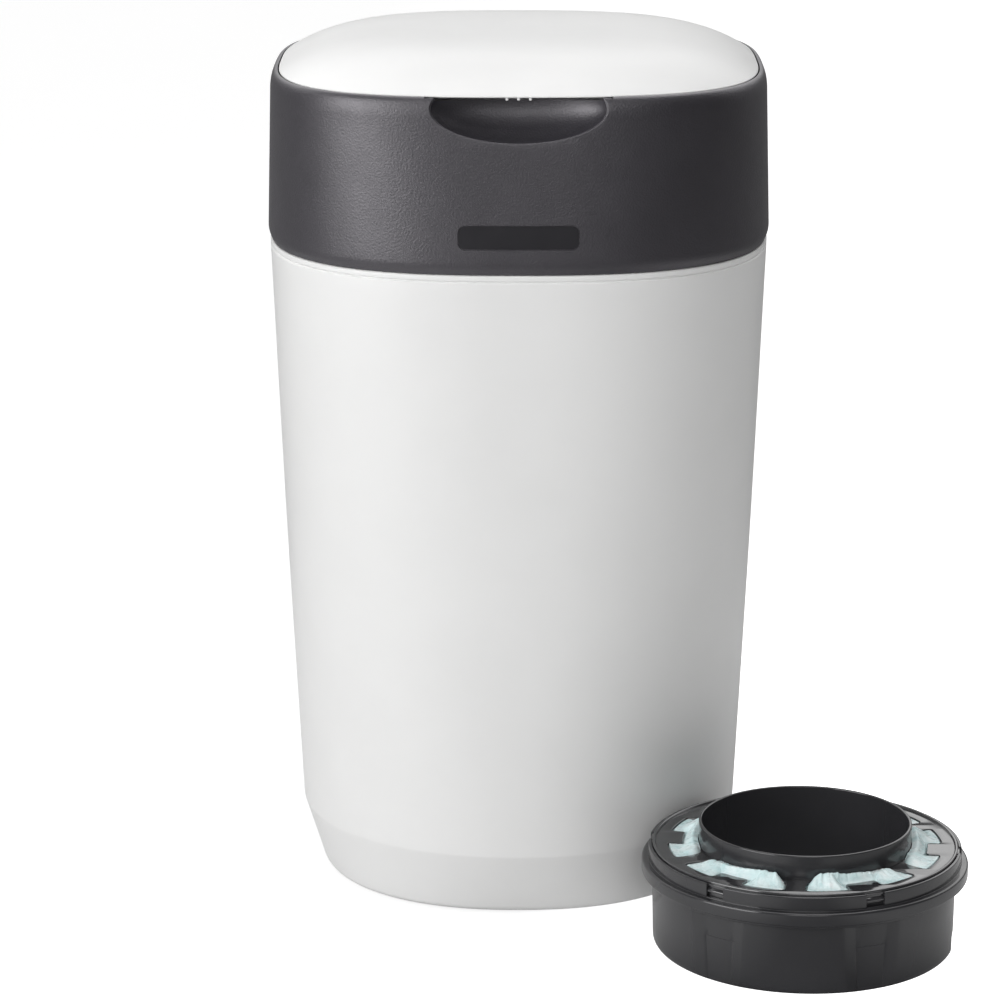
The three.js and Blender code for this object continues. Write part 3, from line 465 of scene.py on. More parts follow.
def wedge(name, near, far):
    """A body between two faces with the same count of corners."""
    count = len(near)
    faces = [tuple(range(count)), tuple(reversed(range(count, count * 2)))]
    faces += [(i, i + count, (i + 1) % count + count, (i + 1) % count) for i in range(count)]
    return mesh_object(name, [*near, *far], faces)


def plate(name, outlines, z, bevel):
    """A flat plate with holes and rounded edges; the first outline is its edge."""
    curve = bpy.data.curves.new(name, "CURVE")
    curve.dimensions = "2D"
    curve.fill_mode = "BOTH"
    curve.extrude = (z[1] - z[0]) / 2 * MM - bevel * MM
    curve.bevel_depth = bevel * MM
    curve.bevel_resolution = 2
    curve.offset = -bevel * MM
    for outline in outlines:
        spline = curve.splines.new("POLY")
        spline.points.add(len(outline) - 1)
        for point, (x, y) in zip(spline.points, outline):
            point.co = (x * MM, y * MM, 0, 1)
        spline.use_cyclic_u = True
    shape = made(name, curve)
    mesh = evaluated_mesh(shape)
    bpy.data.objects.remove(shape)
    mesh.transform(Matrix.Translation((0, 0, (z[0] + z[1]) / 2 * MM)))
    reworked(mesh, weld)
    return made(name, mesh)


def merged(name, *things):
    """Several closed bodies in one mesh."""
    work = bmesh.new()
    for thing in things:
        work.from_mesh(thing.data)
    mesh = bpy.data.meshes.new(name)
    work.to_mesh(mesh)
    work.free()
    for thing in things:
        bpy.data.objects.remove(thing)
    return made(name, mesh)


def combined(thing, other, operation):
    modifier = thing.modifiers.new("combine", "BOOLEAN")
    modifier.object = other
    modifier.operation = operation
    modifier.solver = "EXACT"
    mesh = evaluated_mesh(thing)
    thing.modifiers.clear()
    thing.data = mesh
    bpy.data.objects.remove(other)


def cut(thing, *cutters):
    for cutter in cutters:
        combined(thing, cutter, "DIFFERENCE")
    return thing


def around(thing, angle):
    thing.data.transform(Matrix.Rotation(angle, 4, "Z"))
    return thing


def repeated(make, count, first):
    return [around(make(), first + i / count * math.tau) for i in range(count)]


# Materials

# The middle part of a noise's values, which its colours and its roughness follow
NOISE_REACH = (0.3, 0.7)


def set_values(node, **values):
    """Sets a node's sockets by name, with _ for a space, and its other settings."""
    for key, value in values.items():
        socket = key.replace("_", " ")
        if socket in node.inputs:
            node.inputs[socket].default_value = value
        else:
            setattr(node, key, value)


class Nodes:
    """Lays out shader nodes in a tree."""

    def __init__(self, tree):
        self.tree = tree

    def node(self, kind, **values):
        new = self.tree.nodes.new(kind)
        set_values(new, **values)
        return new

    def link(self, output, socket):
        self.tree.links.new(output, socket)

    def fed(self, kind, *sources, sockets=(0, 1, 2), result=0, **values):
        """The result of a new node that takes numbers and the outputs of other nodes."""
        new = self.node(kind, **values)
        for socket, source in zip(sockets, sources):
            if isinstance(source, float):
                new.inputs[socket].default_value = source
            else:
                self.link(source, new.inputs[socket])
        return new.outputs[result]

    def maths(self, operation, *sources):
        return self.fed("ShaderNodeMath", *sources, operation=operation)

    def axis(self, vector, letter):
        return self.fed("ShaderNodeSeparateXYZ", vector, result=letter)

    def ramp(self, value, reach, result):
        """Maps a value from its reach to a result, evenly, and stops at both ends."""
        ends = dict(From_Min=reach[0], From_Max=reach[1], To_Min=result[0], To_Max=result[1])
        return self.fed("ShaderNodeMapRange", value, **ends)

    def mixed(self, *sources):
        """A value that goes from the second source to the third as the first grows."""
        return self.fed("ShaderNodeMix", *sources, sockets=("Factor", "A", "B"))


class Recipe(Nodes):
    """One procedural material."""

    def __init__(self, name):
        self.material = bpy.data.materials.new(name)
        self.material.use_nodes = True
        super().__init__(self.material.node_tree)
        self.surface = self.tree.nodes["Principled BSDF"]
        self.place = self.node("ShaderNodeTexCoord").outputs["Object"]

    def noise(self, scale, detail=3.0, roughness=0.5, distortion=0.0, stretch=None):
        where = self.fed("ShaderNodeMapping", self.place, Scale=stretch) if stretch else self.place
        values = dict(Scale=scale, Detail=detail, Roughness=roughness, Distortion=distortion)
        return self.fed("ShaderNodeTexNoise", where, **values)

    def spread(self, value, low, high):
        return self.ramp(value, NOISE_REACH, (low, high))

    def tint(self, value, first, second):
        ramp = self.node("ShaderNodeValToRGB")
        ends = zip(ramp.color_ramp.elements, NOISE_REACH, (first, second))
        for element, position, colour in ends:
            element.position = position
            element.color = (*colour, 1)
        self.link(value, ramp.inputs["Fac"])
        self.link(ramp.outputs["Color"], self.surface.inputs["Base Color"])

    def wear(self, value, low, high):
        self.link(self.spread(value, low, high), self.surface.inputs["Roughness"])

    def bump(self, value, depth, strength):
        values = dict(Strength=strength, Distance=depth)
        normal = self.fed("ShaderNodeBump", value, sockets=("Height",), **values)
        self.link(normal, self.surface.inputs["Normal"])


def plastic(name, colour, spread, roughness, grain, gloss=0.5, bend=1.49, sheen=(1, 1, 1)):
    """Moulded plastic: grain is the scale and the depth of its surface, in metres."""
    recipe = Recipe(name)
    darker = tuple(c * (1 - spread) for c in colour)
    lighter = tuple(min(1, c * (1 + spread)) for c in colour)
    recipe.tint(recipe.noise(22.0, 4.0), darker, lighter)
    recipe.wear(recipe.noise(60.0, 5.0, 0.6), *roughness)
    recipe.bump(recipe.noise(grain[0], 2.0, 0.6), grain[1], 0.5)
    set_values(recipe.surface, Specular_IOR_Level=gloss, IOR=bend, Specular_Tint=(*sheen, 1))
    return recipe.material


def steel_look():
    recipe = Recipe("drawn_steel")
    set_values(recipe.surface, Metallic=1.0)
    drawn = (0.05, 1.0, 1.0)
    recipe.tint(recipe.noise(300.0, 3.0, stretch=drawn), (0.5, 0.51, 0.52), (0.64, 0.65, 0.66))
    recipe.wear(recipe.noise(900.0, 3.0, stretch=drawn), 0.22, 0.36)
    recipe.bump(recipe.noise(1800.0, 2.0, stretch=drawn), 1e-5, 0.4)
    return recipe.material


def film_look():
    recipe = Recipe("pale_film")
    recipe.tint(recipe.noise(110.0), (0.56, 0.75, 0.76), (0.84, 0.93, 0.935))
    recipe.wear(recipe.noise(240.0), 0.2, 0.36)
    recipe.bump(recipe.noise(260.0, 4.0, 0.6, 1.4), 0.0009, 0.55)
    depth = (0.0012, 0.0016, 0.0016)
    set_values(recipe.surface, Subsurface_Weight=0.2, Subsurface_Radius=depth, IOR=1.5)
    return recipe.material


CHARCOAL = (0.0225, 0.021, 0.0265)
CHARCOAL_SHEEN = (0.985, 0.955, 1.0)
LABEL_GREY = (0.0185, 0.0175, 0.021)
INNER_GREY = (0.047, 0.046, 0.051)
BLACK = (0.027, 0.027, 0.0295)

LOOKS = {
    "white_shell": plastic("satin_white", (0.82, 0.82, 0.815), 0.012, (0.36, 0.44), (2400.0, 1.5e-5)),
    "white_inner": plastic("moulded_white", (0.8, 0.8, 0.79), 0.015, (0.42, 0.52), (1800.0, 2e-5)),
    "charcoal_shell": plastic(
        "grained_charcoal", CHARCOAL, 0.1, (0.4, 0.47), (950.0, 4e-4), 1.0, 1.6, CHARCOAL_SHEEN
    ),
    "label_field": plastic("smooth_charcoal", LABEL_GREY, 0.05, (0.3, 0.36), (1500.0, 1e-5)),
    "charcoal_inner": plastic("satin_charcoal", INNER_GREY, 0.06, (0.4, 0.5), (2600.0, 3e-5)),
    "grey_inner": plastic("satin_grey", (0.27, 0.28, 0.3), 0.04, (0.38, 0.48), (2600.0, 2e-5)),
    "cover_gloss": plastic("glossy_black", BLACK, 0.08, (0.07, 0.13), (1500.0, 4e-6), 1.0, 1.6),
    "cassette_plastic": plastic("smooth_black", BLACK, 0.08, (0.13, 0.22), (1500.0, 6e-6), 0.7),
    "film": film_look(),
    "rubber": plastic("matt_rubber", (0.05, 0.05, 0.05), 0.1, (0.75, 0.9), (1400.0, 6e-5)),
    "steel": steel_look(),
}


def coloured(thing, look):
    thing.data.materials.clear()
    thing.data.materials.append(LOOKS[look])


def dressed(thing, body, slot, *nodes, degrees=32):
    coloured(thing, slot)
    shaded(thing, degrees)
    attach(thing, body)
    if nodes:
        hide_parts(*nodes)


# Hinges, whose pins lie along X


def knuckle(name, radius, x, hinge, root_y, root_z, bevels):
    """A round knuckle on a hinge's axis, with a block that roots it in its wall."""
    root = block("root", x, (root_y, hinge[0]), root_z, bevels[1])
    return merged(name, rod_x("round", radius, x, *hinge, bevels[0]), root)


def lug_spans(barrel_half, width):
    """Where the lugs beside a barrel lie along the hinge."""
    near, far = barrel_half + FIT_GAP, barrel_half + FIT_GAP + width
    return (("left", (-far, -near)), ("right", (near, far)))


def make_pin(name, body, radius, half, hinge, node):
    end = half + PIN_SPARE
    parts = [rod_x("shaft", radius, (-end, end), *hinge)]
    for x in ((-end - CAP_LENGTH, -end), (end, end + CAP_LENGTH)):
        parts.append(rod_x("cap", CAP_RADIUS, x, *hinge, 0.4))
    dressed(merged(name, *parts), body, "steel", node)


# Tub


def part_way(start, end, share):
    return tuple(a + (b - a) * share for a, b in zip(start, end))


def tub_profile():
    base = (TUB_BASE_HALF, TUB_BASE)
    crease = (TUB_CREASE_HALF, TUB_CREASE)
    waist = (TUB_WAIST_HALF, TUB_WAIST)
    bead = TUB_TOP - TUB_BEAD
    corners = [
        (0, TUB_BASE),
        (*base, TUB_BASE_ROUND),
        part_way(crease, base, 0.05),
        (*crease, 1.2),
        part_way(crease, waist, 0.012),
        (*waist, TUB_WAIST_ROUND),
        (TUB_TOP_HALF, bead - 0.9, 0.3),
        (TUB_TOP_HALF - TUB_GROOVE, bead - 0.1, 0.15),
        (TUB_TOP_HALF, bead + 0.7, 0.4),
        (TUB_TOP_HALF, TUB_TOP, 1.6),
        (NECK_HALF, TUB_TOP, 0.3),
        (NECK_HALF, NECK_TOP, 0.8),
        (NECK_HALF - TUB_WALL, NECK_TOP, 0.8),
        (NECK_HALF - TUB_WALL, TUB_TOP - TUB_WALL, 1.0),
        (TUB_TOP_HALF - TUB_WALL, TUB_TOP - 7.0, 2.0),
        (TUB_WAIST_HALF - TUB_WALL, TUB_WAIST, TUB_WAIST_ROUND),
        (TUB_CREASE_HALF - TUB_WALL, TUB_CREASE, 1.6),
        (TUB_BASE_HALF - TUB_BASE_INSET, TUB_BASE + TUB_WALL, TUB_BASE_ROUND),
        (0, TUB_BASE + TUB_WALL),
    ]
    return rounded(corners, 5, closed=False)


def make_tub():
    dressed(squared("tub_skin", tub_profile()), "tub", "white_shell", "tub_shell")
    root_z = (HEAD_HINGE_Z - HEAD_BARREL, HEAD_HINGE_Z)
    for word, x in lug_spans(HEAD_BARREL_HALF, HEAD_LUG):
        name = f"tub_lug_{word}"
        lug = knuckle(name, HEAD_BARREL, x, HEAD_HINGE, TUB_TOP_HALF - TUB_WALL, root_z, (0.4, 0.3))
        dressed(lug, "tub", "white_shell")
    y, z = (-NECK_HALF - 0.4, -NECK_HALF + 1.2), (NECK_TOP - 3.4, NECK_TOP - 1.2)
    dressed(block("neck_bead", (-NECK_BEAD_HALF, NECK_BEAD_HALF), y, z, 0.35), "tub", "white_shell")
    for i, spot in enumerate(four_spots(PAD_PLACE)):
        pad = rod_z(f"rubber_pad_{i + 1}", PAD_RADIUS, *spot, (0, TUB_BASE - FIT_GAP), 0.4)
        dressed(pad, "tub", "rubber", f"foot_pad_{i + 1}")
    make_pin("head_pin", "tub", HEAD_PIN, HEAD_BARREL_HALF + HEAD_LUG, HEAD_HINGE, "head_hinge_pin")


# Collar


def collar_side(inset):
    """The collar's outer line from its foot to its lip, moved inwards by a wall."""
    points = [
        (COLLAR_BOTTOM_HALF - inset, COLLAR_BOTTOM, 0.5),
        (COLLAR_WIDE_HALF - inset, COLLAR_WIDE, 3.2),
    ]
    out = COLLAR_BROW_HALF - COLLAR_LIP_OUTER
    up = COLLAR_TOP - COLLAR_BROW
    for step in range(BROW_STEPS + 1):
        turn = step / BROW_STEPS * math.pi / 2
        along = COLLAR_LIP_OUTER - inset + out * math.cos(turn)
        points.append((along, COLLAR_BROW + up * math.sin(turn)))
    return points


def filled_collar(name, inset):
    side = rounded(collar_side(inset), closed=False)
    return squared(name, [(0, COLLAR_BOTTOM), *side, (0, COLLAR_TOP)])


def collar_void():
    below, over = COLLAR_BOTTOM - OVERRUN, COLLAR_TOP + OVERRUN
    side = [p for p in rounded(collar_side(COLLAR_WALL), closed=False) if p[1] < SCOOP_TOP - 1.5]
    side[0] = (side[0][0], below)
    lip = [(COLLAR_LIP_INNER, SCOOP_TOP), (COLLAR_LIP_INNER, over)]
    return squared("void", [(0, below), *side, *lip, (0, over)])


def ellipsoid(name, grow):
    """The scoop's hollow, or the dish round it when it grows by a wall."""
    wide, high = SCOOP_HALF_WIDTH + grow, SCOOP_HALF_HEIGHT + grow
    rows = []
    for ring in range(SCOOP_SIDES // 2 + 1):
        tilt = ring / (SCOOP_SIDES // 2) * math.pi
        y = -COLLAR_BROW_HALF - (SCOOP_DEPTH + grow) * math.cos(tilt)
        a, b = wide * math.sin(tilt), high * math.sin(tilt)
        turns = ring_angles(SCOOP_SIDES)
        rows.append([(a * math.cos(turn), y, SCOOP_Z + b * math.sin(turn)) for turn in turns])
    return grid(name, rows, False)


def collar_front(x, z):
    """How far forward the collar's outside lies at a place in the front view."""
    line = collar_side(0)
    half = float(np.interp(z, [p[1] for p in line], [p[0] for p in line]))
    power = exponent_at(z)
    return -half * (1 - (abs(x) / half) ** power) ** (1 / power)


def scoop_rim(turn, swell):
    """A place on the collar's outside at the scoop's rim, or beyond it by a swell."""
    share = 1.0
    for _ in range(6):
        x = SCOOP_HALF_WIDTH * share * math.cos(turn)
        z = SCOOP_Z + SCOOP_HALF_HEIGHT * share * math.sin(turn)
        sunk = (collar_front(x, z) + COLLAR_BROW_HALF) / SCOOP_DEPTH
        share = math.sqrt(max(0.2, 1 - sunk * sunk))
    across = np.array([math.cos(turn) / SCOOP_HALF_WIDTH, math.sin(turn) / SCOOP_HALF_HEIGHT])
    across /= np.linalg.norm(across)
    x += across[0] * swell
    z += across[1] * swell
    return np.array([x, collar_front(x, z), z])


def scoop_flare():
    """A thin cutter that rounds the scoop's rim over."""
    columns = []
    for turn in ring_angles(SCOOP_SIDES):
        rim, out = scoop_rim(turn, 0), scoop_rim(turn, SCOOP_RIM_ROUND)
        inner = rim + np.array([0, SCOOP_RIM_ROUND, 0])
        column = [scoop_rim(turn, -2.5) + np.array([0, SCOOP_RIM_ROUND + 1.0, 0])]
        column += [curve_point(inner, rim, out, step / 5) for step in range(6)]
        column.append(out + (out - rim) * 2 + np.array([0, -0.35, 0]))
        column.append(scoop_rim(turn, SCOOP_RIM_ROUND * 3) + np.array([0, -4.0, 0]))
        columns.append(column)
    rows = np.array(columns).transpose(1, 0, 2)
    ends = [np.tile([0, y - COLLAR_BROW_HALF, SCOOP_Z], (1, SCOOP_SIDES, 1)) for y in (3.0, -9.0)]
    return grid("flare", np.concatenate([ends[0], rows, ends[1]]), False)


def label_outline(inset):
    half = (LABEL_TOP - LABEL_BOTTOM) / 2
    outline = []
    for i, (x, z) in enumerate(((1, 1), (-1, 1), (-1, -1), (1, -1))):
        for step in range(9):
            a, b = polar(LABEL_CORNER - inset, (i + step / 8) * math.pi / 2)
            outline.append((x * (LABEL_HALF_WIDTH - LABEL_CORNER) + a, z * (half - LABEL_CORNER) + b))
    return outline


def label_plug(inset=0.0):
    plug = prism("plug", label_outline(inset), (0, COLLAR_WALL + OVERRUN))
    plug.data.transform(Matrix.Rotation(math.pi / 2, 4, "X"))
    middle = (LABEL_BOTTOM + LABEL_TOP) / 2
    plug.data.transform(Matrix.Translation((0, (COLLAR_WALL - COLLAR_WIDE_HALF) * MM, middle * MM)))
    return cut(plug, filled_collar("core", LABEL_DEPTH))


def make_label_field():
    """The smooth bare field on the floor of the label recess."""
    field = label_plug(0.5)
    combined(field, filled_collar("front", LABEL_DEPTH - 0.25), "INTERSECT")
    field.name = "label_field"
    dressed(field, "head", "charcoal_shell")
    coloured(field, "label_field")


def dish_slot():
    """A wedge that trims the dish's top, lower at its back than at its front."""
    back = -COLLAR_BROW_HALF + SCOOP_DEPTH + SCOOP_WALL + 1.0
    front = -COLLAR_LIP_INNER
    half = SCOOP_HALF_WIDTH + SCOOP_WALL
    outline = [(front, SCOOP_TOP), (back, DISH_TOP), (back, SLOT_TOP), (front, SLOT_TOP)]
    return wedge("slot", *[[(x, *p) for p in outline] for x in (-half, half)])


def lid_notch():
    x = (-LID_BARREL_HALF - FIT_GAP, LID_BARREL_HALF + FIT_GAP)
    y = (LID_HALF - LID_ARM_ROOT, LID_HINGE_Y)
    return [
        rod_x("notch_round", LID_BARREL + 0.5, x, *LID_HINGE, 0.1),
        block("notch_slot", x, y, (NOTCH_FLOOR, CUTTER_TOP)),
    ]


def make_collar():
    skin = filled_collar("collar_skin", 0)
    void = cut(collar_void(), ellipsoid("dish", SCOOP_WALL))
    inner = COLLAR_LIP_INNER
    corners = [(0, SCOOP_TOP), (inner, SCOOP_TOP), (inner, CUTTER_TOP), (0, CUTTER_TOP)]
    hollows = (void, squared("top", corners), dish_slot(), ellipsoid("scoop", 0), scoop_flare())
    cut(skin, *hollows, label_plug(), *lid_notch())
    dressed(skin, "head", "charcoal_shell", "collar_shell")
    make_label_field()
    x, z = (-HEAD_BARREL_HALF, HEAD_BARREL_HALF), (COLLAR_BOTTOM, HEAD_WEB_TOP)
    barrel = knuckle(
        "head_barrel", HEAD_BARREL, x, HEAD_HINGE, COLLAR_BOTTOM_HALF - 1.3, z, (0.4, 0.6)
    )
    dressed(barrel, "head", "charcoal_shell")
    z = (LID_HINGE_Z - 6.0, LID_HINGE_Z)
    for word, x in lug_spans(LID_BARREL_HALF, LID_LUG):
        name = f"lid_lug_{word}"
        lug = knuckle(name, LID_BARREL, x, LID_HINGE, COLLAR_LIP_OUTER - 0.3, z, (0.5, 0.4))
        dressed(lug, "head", "charcoal_shell")
    make_pin("lid_pin", "head", LID_PIN, LID_BARREL_HALF + LID_LUG, LID_HINGE, "lid_hinge_pin")
    top = DECK_TOP - DECK_PLATE - FIT_GAP
    z = (top - BOSS_LENGTH, top)
    reach = BOSS_PLACE * math.sqrt(2)
    for i in range(4):
        post = rod_z("post", BOSS_RADIUS, reach, 0, z, 0.4)
        web = block("web", (reach, reach + BOSS_WEB), (-1.75, 1.75), z, 0.3)
        boss = merged(f"deck_boss_{i + 1}", post, web)
        dressed(around(boss, (i + 0.5) * math.pi / 2), "head", "charcoal_shell")


# Lid


def dome(share):
    return LID_EDGE + LID_RISE * (1 - share**LID_POWER)


def lid_profile():
    """The cap's line, from the middle of its underside round its edge to the top."""
    outer = [(LID_HALF * share, dome(share)) for share in DOME_SHARES]
    lip = LID_HALF - LID_LIP_WIDTH
    inner = [(out, up - LID_WALL) for out, up in reversed(outer) if out < lip - 1.5]
    corners = [
        inner[-1],
        (lip, LID_LIP, 0.3),
        (LID_HALF, LID_LIP, 0.3),
        (LID_HALF, LID_EDGE, LID_EDGE_ROUND),
        outer[0],
    ]
    edge = rounded(corners, closed=False)[1:-1]
    return [(0, dome(0) - LID_WALL), *inner, *edge, *outer, (0, dome(0))]


def lid_skirt():
    """A thin wall under the cap, open in front where the fingers come in."""
    inner, outer = LID_SKIRT_HALF - LID_SKIRT_WALL, LID_SKIRT_HALF
    bottom, top = LID_SKIRT_BOTTOM, dome(LID_SKIRT_HALF / LID_HALF) - LID_WALL / 2
    corners = [(inner, bottom, 0.5), (outer, bottom, 0.5), (outer, top), (inner, top)]
    x = (-LID_SKIRT_OPENING, LID_SKIRT_OPENING)
    y = (-LID_HALF - OVERRUN, -LID_HALF * 0.7)
    opening = block("opening", x, y, (bottom - OVERRUN, top + OVERRUN))
    return cut(square_hoop("lid_skirt", corners), opening)


def make_lid():
    cap = squared("lid_dome", lid_profile())
    dressed(cap, "lid", "white_shell", "lid_cap", degrees=40)
    dressed(lid_skirt(), "lid", "white_shell")
    y, z = (1.1 - LID_HALF, 8.7 - LID_HALF), (COLLAR_TOP - RIB_DROP, COLLAR_TOP + 0.4)
    for i in (-1, 0, 1):
        x = (i * RIB_PITCH - RIB_WIDTH / 2, i * RIB_PITCH + RIB_WIDTH / 2)
        dressed(block(f"grip_rib_{i + 2}", x, y, z, 0.4), "lid", "white_shell")
    x, z = (-LID_BARREL_HALF, LID_BARREL_HALF), (LID_HINGE_Z - 0.6, LID_HINGE_Z + 2.4)
    barrel = knuckle(
        "lid_barrel", LID_BARREL, x, LID_HINGE, LID_HALF - LID_ARM_ROOT, z, (0.5, 0.5)
    )
    dressed(barrel, "lid", "white_shell")
    rim = dome(LINER_HALF / LID_HALF) - LID_WALL - 1.3
    inner = LINER_HALF - LINER_WALL
    corners = [
        (0, LINER_BOTTOM),
        (LINER_HALF, LINER_BOTTOM, 1.2),
        (LINER_HALF, rim, 0.4),
        (inner, rim, 0.4),
        (inner, LINER_BOTTOM + LINER_WALL, 1.0),
        (0, LINER_BOTTOM + LINER_WALL),
    ]
    pan = squared("liner_pan", rounded(corners, closed=False))
    dressed(pan, "lid", "white_inner", "lid_liner")
    low, high = DECK_TOP + FIT_GAP, LINER_BOTTOM - FIT_GAP
    corners = [
        (LINER_HALF - SEAL_WIDTH, low, 0.5),
        (LINER_HALF - SEAL_WIDTH / 2, low, 0.5),
        (LINER_HALF, high, 0.3),
        (LINER_HALF - SEAL_WIDTH, high, 0.3),
    ]
    dressed(square_hoop("soft_seal", corners), "lid", "rubber", "lid_seal")


# Deck


def deck_outline():
    """The deck's edge in plan, with a bite where the finger scoop's dish comes in."""
    slope = (COLLAR_WIDE_HALF - COLLAR_BROW_HALF) / (COLLAR_BROW - COLLAR_WIDE)
    half = COLLAR_WIDE_HALF - slope * (DECK_TOP - COLLAR_WIDE) - COLLAR_WALL - DECK_GAP
    grow = SCOOP_WALL + FIT_GAP
    level = math.sqrt(1 - ((DECK_TOP - SCOOP_Z) / (SCOOP_HALF_HEIGHT + grow)) ** 2)
    a, b = (SCOOP_HALF_WIDTH + grow) * level, (SCOOP_DEPTH + grow) * level
    outline = []
    for turn in ring_angles(SKIN_SIDES * 2):
        reach = reach_at(half, DECK_TOP, turn)
        c, s = math.cos(turn), math.sin(turn)
        p = (c / a) ** 2 + (s / b) ** 2
        q, r = s * COLLAR_BROW_HALF / b**2, (COLLAR_BROW_HALF / b) ** 2 - 1
        inside = q * q - p * r
        if inside > 0 and s < 0:
            reach = min(reach, (-q - math.sqrt(inside)) / p)
        outline.append((reach * c, reach * s))
    return outline


def deck_screw(name, x, y):
    shank = rod_z("shank", 1.5, x, y, (DECK_TOP - 14.0, DECK_TOP + 1.0))
    head = rod_z("head", 3.2, x, y, (DECK_TOP + FIT_GAP, DECK_TOP + FIT_GAP + 2.0), 0.7)
    slot = block("slot", (x - 5.0, x + 5.0), (y - 0.45, y + 0.45), (DECK_TOP + 1.5, DECK_TOP + 5.0))
    return merged(name, shank, cut(head, slot))


def make_deck():
    spots = four_spots(BOSS_PLACE)
    holes = [circle(SCREW_HOLE, x, y, 32) for x, y in spots]
    outlines = [deck_outline(), circle(TROUGH + 1.2), *holes]
    top = plate("deck_plate", outlines, (DECK_TOP - DECK_PLATE, DECK_TOP), 0.4)
    dressed(top, "head", "charcoal_inner", "deck_tray")
    trough_bottom = TROUGH_FLOOR_TOP - TROUGH_FLOOR
    corners = [
        (SEAT_HOLE, SEAT_BOTTOM, 0.6),
        (WELL + WELL_WALL, SEAT_BOTTOM, 1.5),
        (WELL + WELL_WALL, trough_bottom, 0.8),
        (TROUGH + TROUGH_WALL, trough_bottom, 1.5),
        (TROUGH + TROUGH_WALL, DECK_TOP - 0.4, 0.3),
        (TROUGH, DECK_TOP - 0.05, 0.6),
        (TROUGH, TROUGH_FLOOR_TOP, 0.8),
        (WELL, TROUGH_FLOOR_TOP, 0.5),
        (WELL, SEAT_TOP, 0.8),
        (SEAT_HOLE, SEAT_TOP, 0.6),
    ]
    dressed(turned("deck_bowl", corners), "head", "charcoal_inner")
    for i, spot in enumerate(spots):
        screw = deck_screw(f"screw_{i + 1}", *spot)
        dressed(screw, "head", "steel", f"deck_screw_{i + 1}")
    corners = [
        (GRIPPER_INNER, GRIPPER_BOTTOM, 0.6),
        (GRIPPER_OUTER, GRIPPER_BOTTOM, 0.8),
        (GRIPPER_OUTER, GRIPPER_TOP, 0.5),
        (SEAT_HOLE - 0.3, GRIPPER_TOP, 0.2),
        (SEAT_HOLE - 0.3, GRIPPER_TOP + 2.8, 0.4),
        (SEAT_HOLE - 2.3, GRIPPER_TOP + 2.8, 0.4),
        (SEAT_HOLE - 2.3, GRIPPER_TOP - GRIPPER_PLATE, 0.4),
        (GRIPPER_INNER, GRIPPER_TOP - GRIPPER_PLATE, 0.4),
    ]
    dressed(turned("gripper_bowl", corners), "head", "grey_inner", "gripper_ring")


# Cassette, built round its own axis


def eased(value):
    value = min(1.0, max(0.0, value))
    return value * value * (3 - 2 * value)


def channel_width(up):
    return float(np.interp(up, (0, BEAD_BOTTOM), (CHANNEL_BOTTOM_WIDTH, CHANNEL_TOP_WIDTH)))


def stations(up):
    """Places round the wall as (angle, distance from the nearest channel's middle)."""
    half = channel_width(up) / 2
    floor = half - CHANNEL_SLOPE
    pitch = math.tau / FIXTURES * CASSETTE_RADIUS
    marks = [floor - CREASE, floor + CREASE, half - CREASE, half + CREASE]
    stops = [-pitch / 2, *[-mark for mark in reversed(marks)], *marks, pitch / 2]
    counts = [16, 1, 4, 1, 7, 1, 4, 1, 16]
    places = []
    for i in range(FIXTURES):
        middle = NOTCH_ANGLE + i / FIXTURES * math.tau
        for start, end, count in zip(stops, stops[1:], counts):
            for step in range(count):
                away = start + (end - start) * step / count
                places.append((middle + away / CASSETTE_RADIUS, abs(away)))
    return places


def wall_radius(away, out, up):
    """The wall's radius at a height, sunk where a channel runs."""
    half = channel_width(up) / 2
    share = min(1.0, max(0.0, (half - away) / CHANNEL_SLOPE))
    sunk = CHANNEL_DEPTH * share
    if up < CHANNEL_STEP and away < half - CHANNEL_SLOPE:
        sunk += CHANNEL_STEP_DEPTH
    wall = FOOT_RADIUS + (CASSETTE_RADIUS - FOOT_RADIUS) * up / BEAD_BOTTOM
    return min(out, wall - sunk)


def body_rows():
    """The body's line as (radius, height, whether the channels run there)."""
    bore = BORE_OUTER - BORE_WALL
    inner = CASSETTE_RADIUS - CASSETTE_WALL
    corners = [(bore, 0), (FOOT_RADIUS, 0, FOOT_ROUND), (FOOT_RADIUS, FOOT_ROUND * 3)]
    foot = rounded(corners, 12, False)
    heights = [8.0, 12.0, 16.0, 20.0, CHANNEL_STEP - 0.3, CHANNEL_STEP + 0.1, 30.0, 35.0]
    side = [(CASSETTE_RADIUS, height) for height in (*heights, BEAD_BOTTOM)]
    corners = [
        (CASSETTE_RADIUS, BEAD_BOTTOM),
        (STEP_RADIUS, BEAD_BOTTOM, 0.5),
        (STEP_RADIUS, STEP_TOP, 0.3),
        (BEAD_RADIUS, STEP_TOP, 0.8),
        (BEAD_RADIUS, BEAD_TOP, 1.5),
        (FLANGE_OUTER, BEAD_TOP, 0.5),
        (FLANGE_OUTER, NOTCH_BOTTOM, 0.2),
        (FLANGE_INNER, NOTCH_BOTTOM, 0.2),
        (FLANGE_INNER, BEAD_TOP, 0.2),
        (inner, BEAD_TOP, 0.4),
        (inner, CASSETTE_FLOOR, 1.0),
        (BORE_OUTER, CASSETTE_FLOOR, 1.0),
        (BORE_OUTER, BORE_HEIGHT, 0.8),
        (bore, BORE_HEIGHT, 0.8),
        (bore, 0),
    ]
    rest = rounded(corners, 6, False)[1:-1]
    return [(*p, True) for p in foot[:-1] + side] + [(*p, False) for p in rest]


